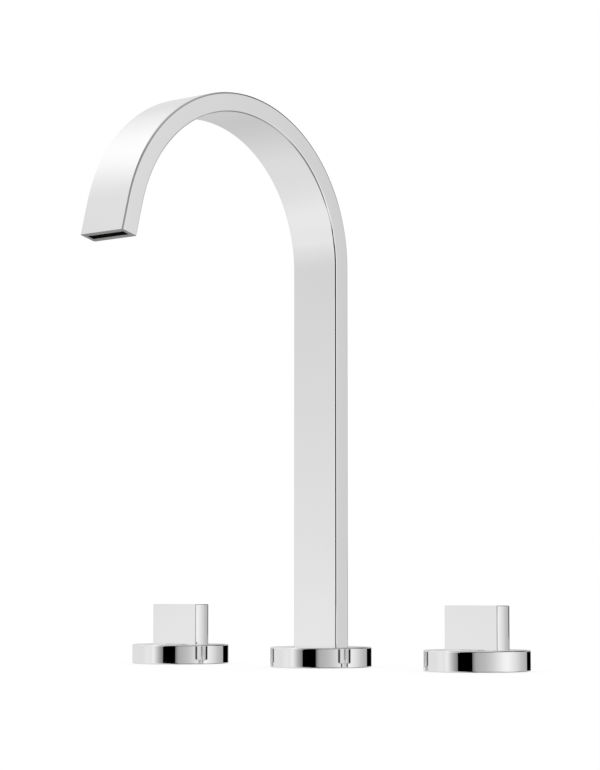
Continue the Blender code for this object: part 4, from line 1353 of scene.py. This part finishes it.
def beside_band(point):
    """How far a point lies from the band's middle surface, across its thickness."""
    far = 1.0
    if point.z < arch_height:
        across = abs(point.y) if point.y > -arch_radius else far
    else:
        across = abs((point - arch_centre).yz.length - arch_radius)
    tip = (point - arch_end).yz
    if tip.dot(tip_direction.yz) > 0 and point.y < -arch_radius:
        across = abs(tip.cross(tip_direction.yz))
    return across


near = 0.02 * mm
outlet_level = outlet.dot(tip_direction)
cast_radius = 12.2 * mm        # what lies further out than this is cast
# Painted shade: the faces inside the water's way get the near-black colour.
second_finish(spout, painted_way_shade, lambda middle, normal: middle.z > band_foot + 2 * mm
              and abs(middle.x) < way_width / 2 + near
              and beside_band(middle) < way_thickness / 2 + near)
second_finish(spout, ground_chrome, lambda middle, normal: normal.dot(tip_direction) > 0.9
              and middle.dot(tip_direction) > outlet_level - seat_gap, 2)
for side in ("hot", "cold"):
    axis = Vector((stations[side], 0))
    second_finish(bpy.data.objects[f"{side}_adapter"], chrome,
                  lambda middle, normal: middle.z > collar_top - overrun)
    second_finish(bpy.data.objects[f"{side}_valve"], cast_brass,
                  lambda middle, normal: belly_bottom < middle.z < belly_top
                  and cast_radius < (middle.xy - axis).length < belly_radius + 0.05 * mm)
second_finish(tee, cast_brass, lambda middle, normal: middle.z < shoulder
              and middle.xy.length > main_way + 2 * mm
              and abs(middle.x) < shank_radius + 0.5 * mm)

# %% [markdown]
# ## The studio
# Chrome has no colour of its own: what it shows is the room. The room here is a round
# wall of soft light that only reflections see. Its brightness goes by the bearing from
# the camera, as if cards stood round the faucet: a bright card on the left, a black
# flag left of the lens, a bright card on the right and darkness behind on that side.
# The wall isn't centred on the faucet, because the cards don't stand equally far away,
# and that shows in how far they shift from one flange to the next.

# %% Camera
camera_azimuth = radians(42.24)
camera_pitch = radians(4.71)
camera_distance = 1290 * mm
camera_side = -10.7 * mm
camera_height = 38.6 * mm

back = Vector((sin(camera_azimuth), -cos(camera_azimuth), 0))
right = Vector((cos(camera_azimuth), sin(camera_azimuth), 0))
camera_data = bpy.data.cameras.new("camera")
camera_data.lens = 117.03
camera_data.clip_start = 0.01
camera_data.clip_end = 20
camera = bpy.data.objects.new("camera", camera_data)
camera.location = back * camera_distance + right * camera_side + Vector((0, 0, camera_height))
camera.rotation_euler = (pi / 2 + camera_pitch, 0, camera_azimuth)
bpy.context.scene.collection.objects.link(camera)
bpy.context.scene.camera = camera
print("camera at", [round(c / mm) for c in camera.location])

# %% [markdown]
# The tables below were read off the flanges, which are round and so show the whole
# room once. Each row is a bearing from the camera in degrees, positive to its right,
# or a height in metres, with the brightness there.

# %% Brightness of the wall
wall_radius = 2.2
wall_shift = 0.8               # of its centre, to the right of the camera
wall_shift_bearing = radians(60)
wall_bottom, wall_top = -1.6, 2.4
left_middle = [(-180, 0.56), (-170, 0.56), (-165, 0.76), (-160, 0.713), (-138, 0.713),
               (-126, 0.735), (-105, 0.727), (-99, 0.738), (-87, 0.79), (-81, 0.784),
               (-75, 0.76), (-68, 0.85), (-63, 0.73), (-60, 0.64), (-54, 0.456), (-42.5, 0.21)]
left_low = [(-180, 0.558), (-172, 0.552), (-163, 0.584), (-148, 0.638), (-127, 0.701),
            (-108, 0.716), (-101, 0.73), (-95, 0.76), (-90, 0.80), (-84, 0.82)]
left_high = [(-172, 0.70), (-163, 0.735), (-156, 0.80), (-147, 0.86), (-138, 0.913),
             (-127, 0.965), (-117, 0.98)]
left_rise = [(0.0, 1.0), (0.085, 0.95), (0.172, 0.913), (0.28, 0.867), (0.39, 0.83),
             (0.7, 0.913), (0.89, 0.922), (1.08, 0.99), (1.26, 1.10), (1.43, 1.21), (1.56, 1.25)]
front_side = [(-11.5, 0.16), (-9, 0.245), (-6, 0.352), (-3, 0.407), (3, 0.434), (15, 0.491),
              (24, 0.558), (33, 0.644), (42, 0.745), (54, 0.871), (64, 0.90), (72, 0.839),
              (81, 0.768), (93, 0.658), (102, 0.552), (114, 0.474), (121, 0.44), (128, 0.41)]
# The left side has three storeys, and changes with height too past these bearings.
low_storey, high_storey = -0.27, 0.7
rise_left, high_rise_left = -100, -117
high_rise_level = 0.784
# The front begins at front_left, and is even low down.
front_left = -30
low_front_top, low_front_right, low_front_level = -0.35, 64, 0.8
# The black flag's edges at the flanges' own level, above that and in the hem below,
# and where it is narrow: above narrow_height and below the hem.
flag_left, flag_right = -42.3, -11.5
tall_left, tall_right = -38, 34
high_left, high_right = -24, -4
narrow_height = 0.68
step_height = 0.01
flag_foot = -0.18              # the dark corner behind ends here, and the flag's hem begins
flag_hem = -0.48               # the hem's lower edge
# The card left of the flag, from step_height up.
card_left, card_right, card_level = -72, -26, 0.86
# The dark corner behind, on the right. Above corner_step its left edge is further left.
dark_left, dark_right = 127.6, 165.0
dark_left_above = 121.5
corner_step = -0.03
corner_top = 0.08
under_corner_level = 0.5       # below flag_foot
behind_level = 0.56            # past the corner, straight behind
# High up: the front darkens, and right of dark_high it is black.
aloft_left, front_top, aloft_level = -62, 1.08, 0.28
dark_high, dark_high_foot = 105, 0.8
# Low down: in front within near_half degrees, and behind right of rear_left.
near_half, near_dark, near_level = 62, -1.15, 0.2
rear_left, rear_dark, rear_level = 97, -0.8, 0.25
floor_level = 0.5
ceiling_level, patch_level, patch_radius = 0.25, 0.5, 1.3


# %% Node helpers for the wall
def ramp(tree, source, table):
    """A Color Ramp over a value, from (value, level) pairs."""
    low, high = table[0][0], table[-1][0]
    brightest = max(level for _, level in table)
    node = tree.nodes.new("ShaderNodeValToRGB")
    stops = node.color_ramp.elements
    while len(stops) < len(table):
        stops.new(0.5)
    for stop, (value, level) in zip(stops, table):
        stop.position = (value - low) / (high - low)
        stop.color = (level / brightest,) * 3 + (1,)
    tree.links.new(spread_out(tree, source, low, high), node.inputs["Fac"])
    return math(tree, 'MULTIPLY', node.outputs["Color"], brightest)


def above(tree, value, edge, soft):
    """0 below the edge and 1 above it. The edge may be a number or a socket."""
    lifted = math(tree, 'SUBTRACT', value, edge)
    return math(tree, 'ADD', math(tree, 'MULTIPLY', lifted, 1 / soft), 0.5, clamp=True)


def outside(tree, mask):
    return math(tree, 'SUBTRACT', 1.0, mask)


def below(tree, value, edge, soft):
    return outside(tree, above(tree, value, edge, soft))


def both(tree, a, b):
    return math(tree, 'MULTIPLY', a, b)


def between(tree, value, low, high, soft):
    return both(tree, above(tree, value, low, soft), below(tree, value, high, soft))


def choose(tree, mask, off, on):
    """off where the mask is 0 and on where it is 1."""
    node = tree.nodes.new("ShaderNodeMix")
    for socket, value in (("Factor", mask), ("A", off), ("B", on)):
        feed(tree, node.inputs[socket], value)
    return node.outputs["Result"]


# %% [markdown]
# The wall is built up like a painting: first the left side and the front, then the
# flag and the cards over them, then the corner behind, and last what lies high and low.

# %% Brightness by bearing and height
def left_side(tree, bearing, height):
    """Three storeys. Towards the front the upper two change with height too."""
    rise = ramp(tree, height, left_rise)
    rising = both(tree, above(tree, bearing, rise_left, 8), above(tree, height, 0.0, 0.01))
    low = ramp(tree, bearing, left_low)
    middle = both(tree, ramp(tree, bearing, left_middle), choose(tree, rising, 1.0, rise))
    high = choose(tree, above(tree, bearing, high_rise_left, 0.1), ramp(tree, bearing, left_high),
                  both(tree, rise, high_rise_level))
    level = choose(tree, below(tree, height, low_storey, 0.24), middle, low)
    return choose(tree, above(tree, height, high_storey, 0.02), level, high)


def flag_and_card(tree, bearing, height, level):
    tall = above(tree, height, step_height, 0.02)
    raised = above(tree, height, flag_foot, 0.06)
    hem = between(tree, height, flag_hem, flag_foot, 0.06)
    wide = both(tree, raised, below(tree, height, narrow_height, 0.15))
    narrow = both(tree, outside(tree, wide), outside(tree, hem))
    tall = math(tree, 'MAXIMUM', tall, hem)
    card = both(tree, both(tree, tall, below(tree, height, high_storey, 0.1)),
                between(tree, bearing, card_left, card_right, 6))
    left_edge = choose(tree, narrow, choose(tree, tall, flag_left, tall_left), high_left)
    right_edge = choose(tree, narrow, choose(tree, tall, flag_right, tall_right), high_right)
    flag = between(tree, bearing, left_edge, right_edge, 0.6)
    return choose(tree, flag, choose(tree, card, level, card_level), 0.0)


def corner_behind(tree, bearing, height, level):
    edge = choose(tree, above(tree, height, corner_step, 0.01), dark_left, dark_left_above)
    corner = both(tree, above(tree, bearing, edge, 0.8), below(tree, height, corner_top, 0.04))
    raised = above(tree, height, flag_foot, 0.06)
    level = choose(tree, corner, level, choose(tree, raised, under_corner_level, 0.0))
    return choose(tree, above(tree, bearing, dark_right, 0.8), level, behind_level)


def high_and_low(tree, bearing, height, from_middle, level):
    """What lies above and below, with the ceiling and the floor."""
    aloft = both(tree, above(tree, bearing, aloft_left, 6), above(tree, height, front_top, 0.1))
    level = choose(tree, aloft, level, aloft_level)
    high_corner = both(tree, above(tree, bearing, dark_high, 6),
                       above(tree, height, dark_high_foot, 0.1))
    level = choose(tree, high_corner, level, 0.0)
    ahead = between(tree, bearing, -near_half, near_half, 8)
    rear = above(tree, bearing, rear_left, 8)
    level = choose(tree, both(tree, ahead, below(tree, height, near_dark, 0.2)), level, near_level)
    level = choose(tree, both(tree, rear, below(tree, height, rear_dark, 0.2)), level, rear_level)
    overhead = choose(tree, below(tree, from_middle, patch_radius, 0.4), ceiling_level, patch_level)
    underneath = choose(tree, ahead, choose(tree, rear, floor_level, rear_level), near_level)
    level = choose(tree, above(tree, height, wall_top - 0.01, 0.001), level, overhead)
    return choose(tree, below(tree, height, wall_bottom + 0.01, 0.001), level, underneath)


# %% Build the wall
def bare_material(piece, name):
    """A material with no nodes but its output, given to a piece."""
    material = bpy.data.materials.new(name)
    material.use_nodes = True
    material.node_tree.nodes.clear()
    piece.data.materials.append(material)
    out = material.node_tree.nodes.new("ShaderNodeOutputMaterial")
    return material.node_tree, out.inputs["Surface"]


def mixed(tree, factor, first, second):
    """The first shader where the factor is 0, and the second where it is 1."""
    node = tree.nodes.new("ShaderNodeMixShader")
    feed(tree, node.inputs["Fac"], factor)
    tree.links.new(first, node.inputs[1])
    tree.links.new(second, node.inputs[2])
    return node.outputs["Shader"]


deselect()
wall_centre = (back * cos(wall_shift_bearing) + right * sin(wall_shift_bearing)) * wall_shift
wall_centre.z = (wall_top + wall_bottom) / 2
bpy.ops.mesh.primitive_cylinder_add(vertices=256, radius=wall_radius, depth=wall_top - wall_bottom,
                                    location=wall_centre)
wall = started("studio_wall")
tree, surface = bare_material(wall, "studio_wall")
turn = tree.nodes.new("ShaderNodeVectorRotate")
turn.rotation_type = 'Z_AXIS'
turn.inputs["Angle"].default_value = -camera_azimuth
tree.links.new(tree.nodes.new("ShaderNodeTexCoord").outputs["Object"], turn.inputs["Vector"])
split = tree.nodes.new("ShaderNodeSeparateXYZ")
tree.links.new(turn.outputs["Vector"], split.inputs["Vector"])
aside, away, height = (split.outputs[axis] for axis in "XYZ")
bearing = math(tree, 'ARCTAN2', aside, math(tree, 'MULTIPLY', away, -1.0))
bearing = math(tree, 'MULTIPLY', bearing, 180 / pi)
from_middle = math(tree, 'SQRT', math(tree, 'ADD', both(tree, aside, aside),
                                      both(tree, away, away)))
low_front = both(tree, below(tree, height, low_front_top, 0.2),
                 below(tree, bearing, low_front_right, 10))
front = choose(tree, low_front, ramp(tree, bearing, front_side), low_front_level)
level = choose(tree, above(tree, bearing, front_left, 1), left_side(tree, bearing, height), front)
level = flag_and_card(tree, bearing, height, level)
level = corner_behind(tree, bearing, height, level)
level = high_and_low(tree, bearing, height, from_middle, level)
glow = tree.nodes.new("ShaderNodeEmission")
glow.inputs["Strength"].default_value = 1 / chrome_level
tree.links.new(level, glow.inputs["Color"])
tree.links.new(glow.outputs["Emission"], surface)
wall.visible_camera = False
wall.visible_diffuse = False
wall.visible_shadow = False
wall.visible_volume_scatter = False
wall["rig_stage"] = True
print("the wall's pattern has", len(tree.nodes), "nodes")

# %% [markdown]
# The photograph shows no deck, so nothing would hide the brass below it from the
# flanges' mirror walls. Those pieces are left out of reflections.

# %% Below the deck
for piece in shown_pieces():
    if box_of(piece)[0].z < -1 * mm and piece["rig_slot"] != "chrome":
        piece.visible_glossy = False

# %% [markdown]
# The floor is the deck's surface: white, with a faint shadow where the flanges stand.
# It glows a little, so that it melts into the white background, and from below it is
# clear, so that the nuts and tubes under the deck can be looked at.

# %% Floor
deselect()
bpy.ops.mesh.primitive_plane_add(size=30, location=(0, 0, -0.2 * mm))
floor = started("floor")
tree, surface = bare_material(floor, "floor")
white = tree.nodes.new("ShaderNodeEmission")
white.inputs["Strength"].default_value = 1.08
white.inputs["Color"].default_value = (1, 1, 1, 1)
lit = tree.nodes.new("ShaderNodeBsdfDiffuse")
lit.inputs["Color"].default_value = (0.8, 0.8, 0.8, 1)
from_above = mixed(tree, 0.25, white.outputs["Emission"], lit.outputs["BSDF"])
from_below = tree.nodes.new("ShaderNodeBsdfTransparent").outputs["BSDF"]
seen_from_below = tree.nodes.new("ShaderNodeNewGeometry").outputs["Backfacing"]
tree.links.new(mixed(tree, seen_from_below, from_above, from_below), surface)
floor.visible_glossy = False
floor.visible_transmission = False
floor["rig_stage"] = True

# %% World
world = bpy.data.worlds.new("studio")
bpy.context.scene.world = world
world.use_nodes = True
background = world.node_tree.nodes["Background"]
background.inputs["Color"].default_value = (1, 1, 1, 1)
background.inputs["Strength"].default_value = 1.0
bpy.context.scene.view_settings.view_transform = 'Standard'
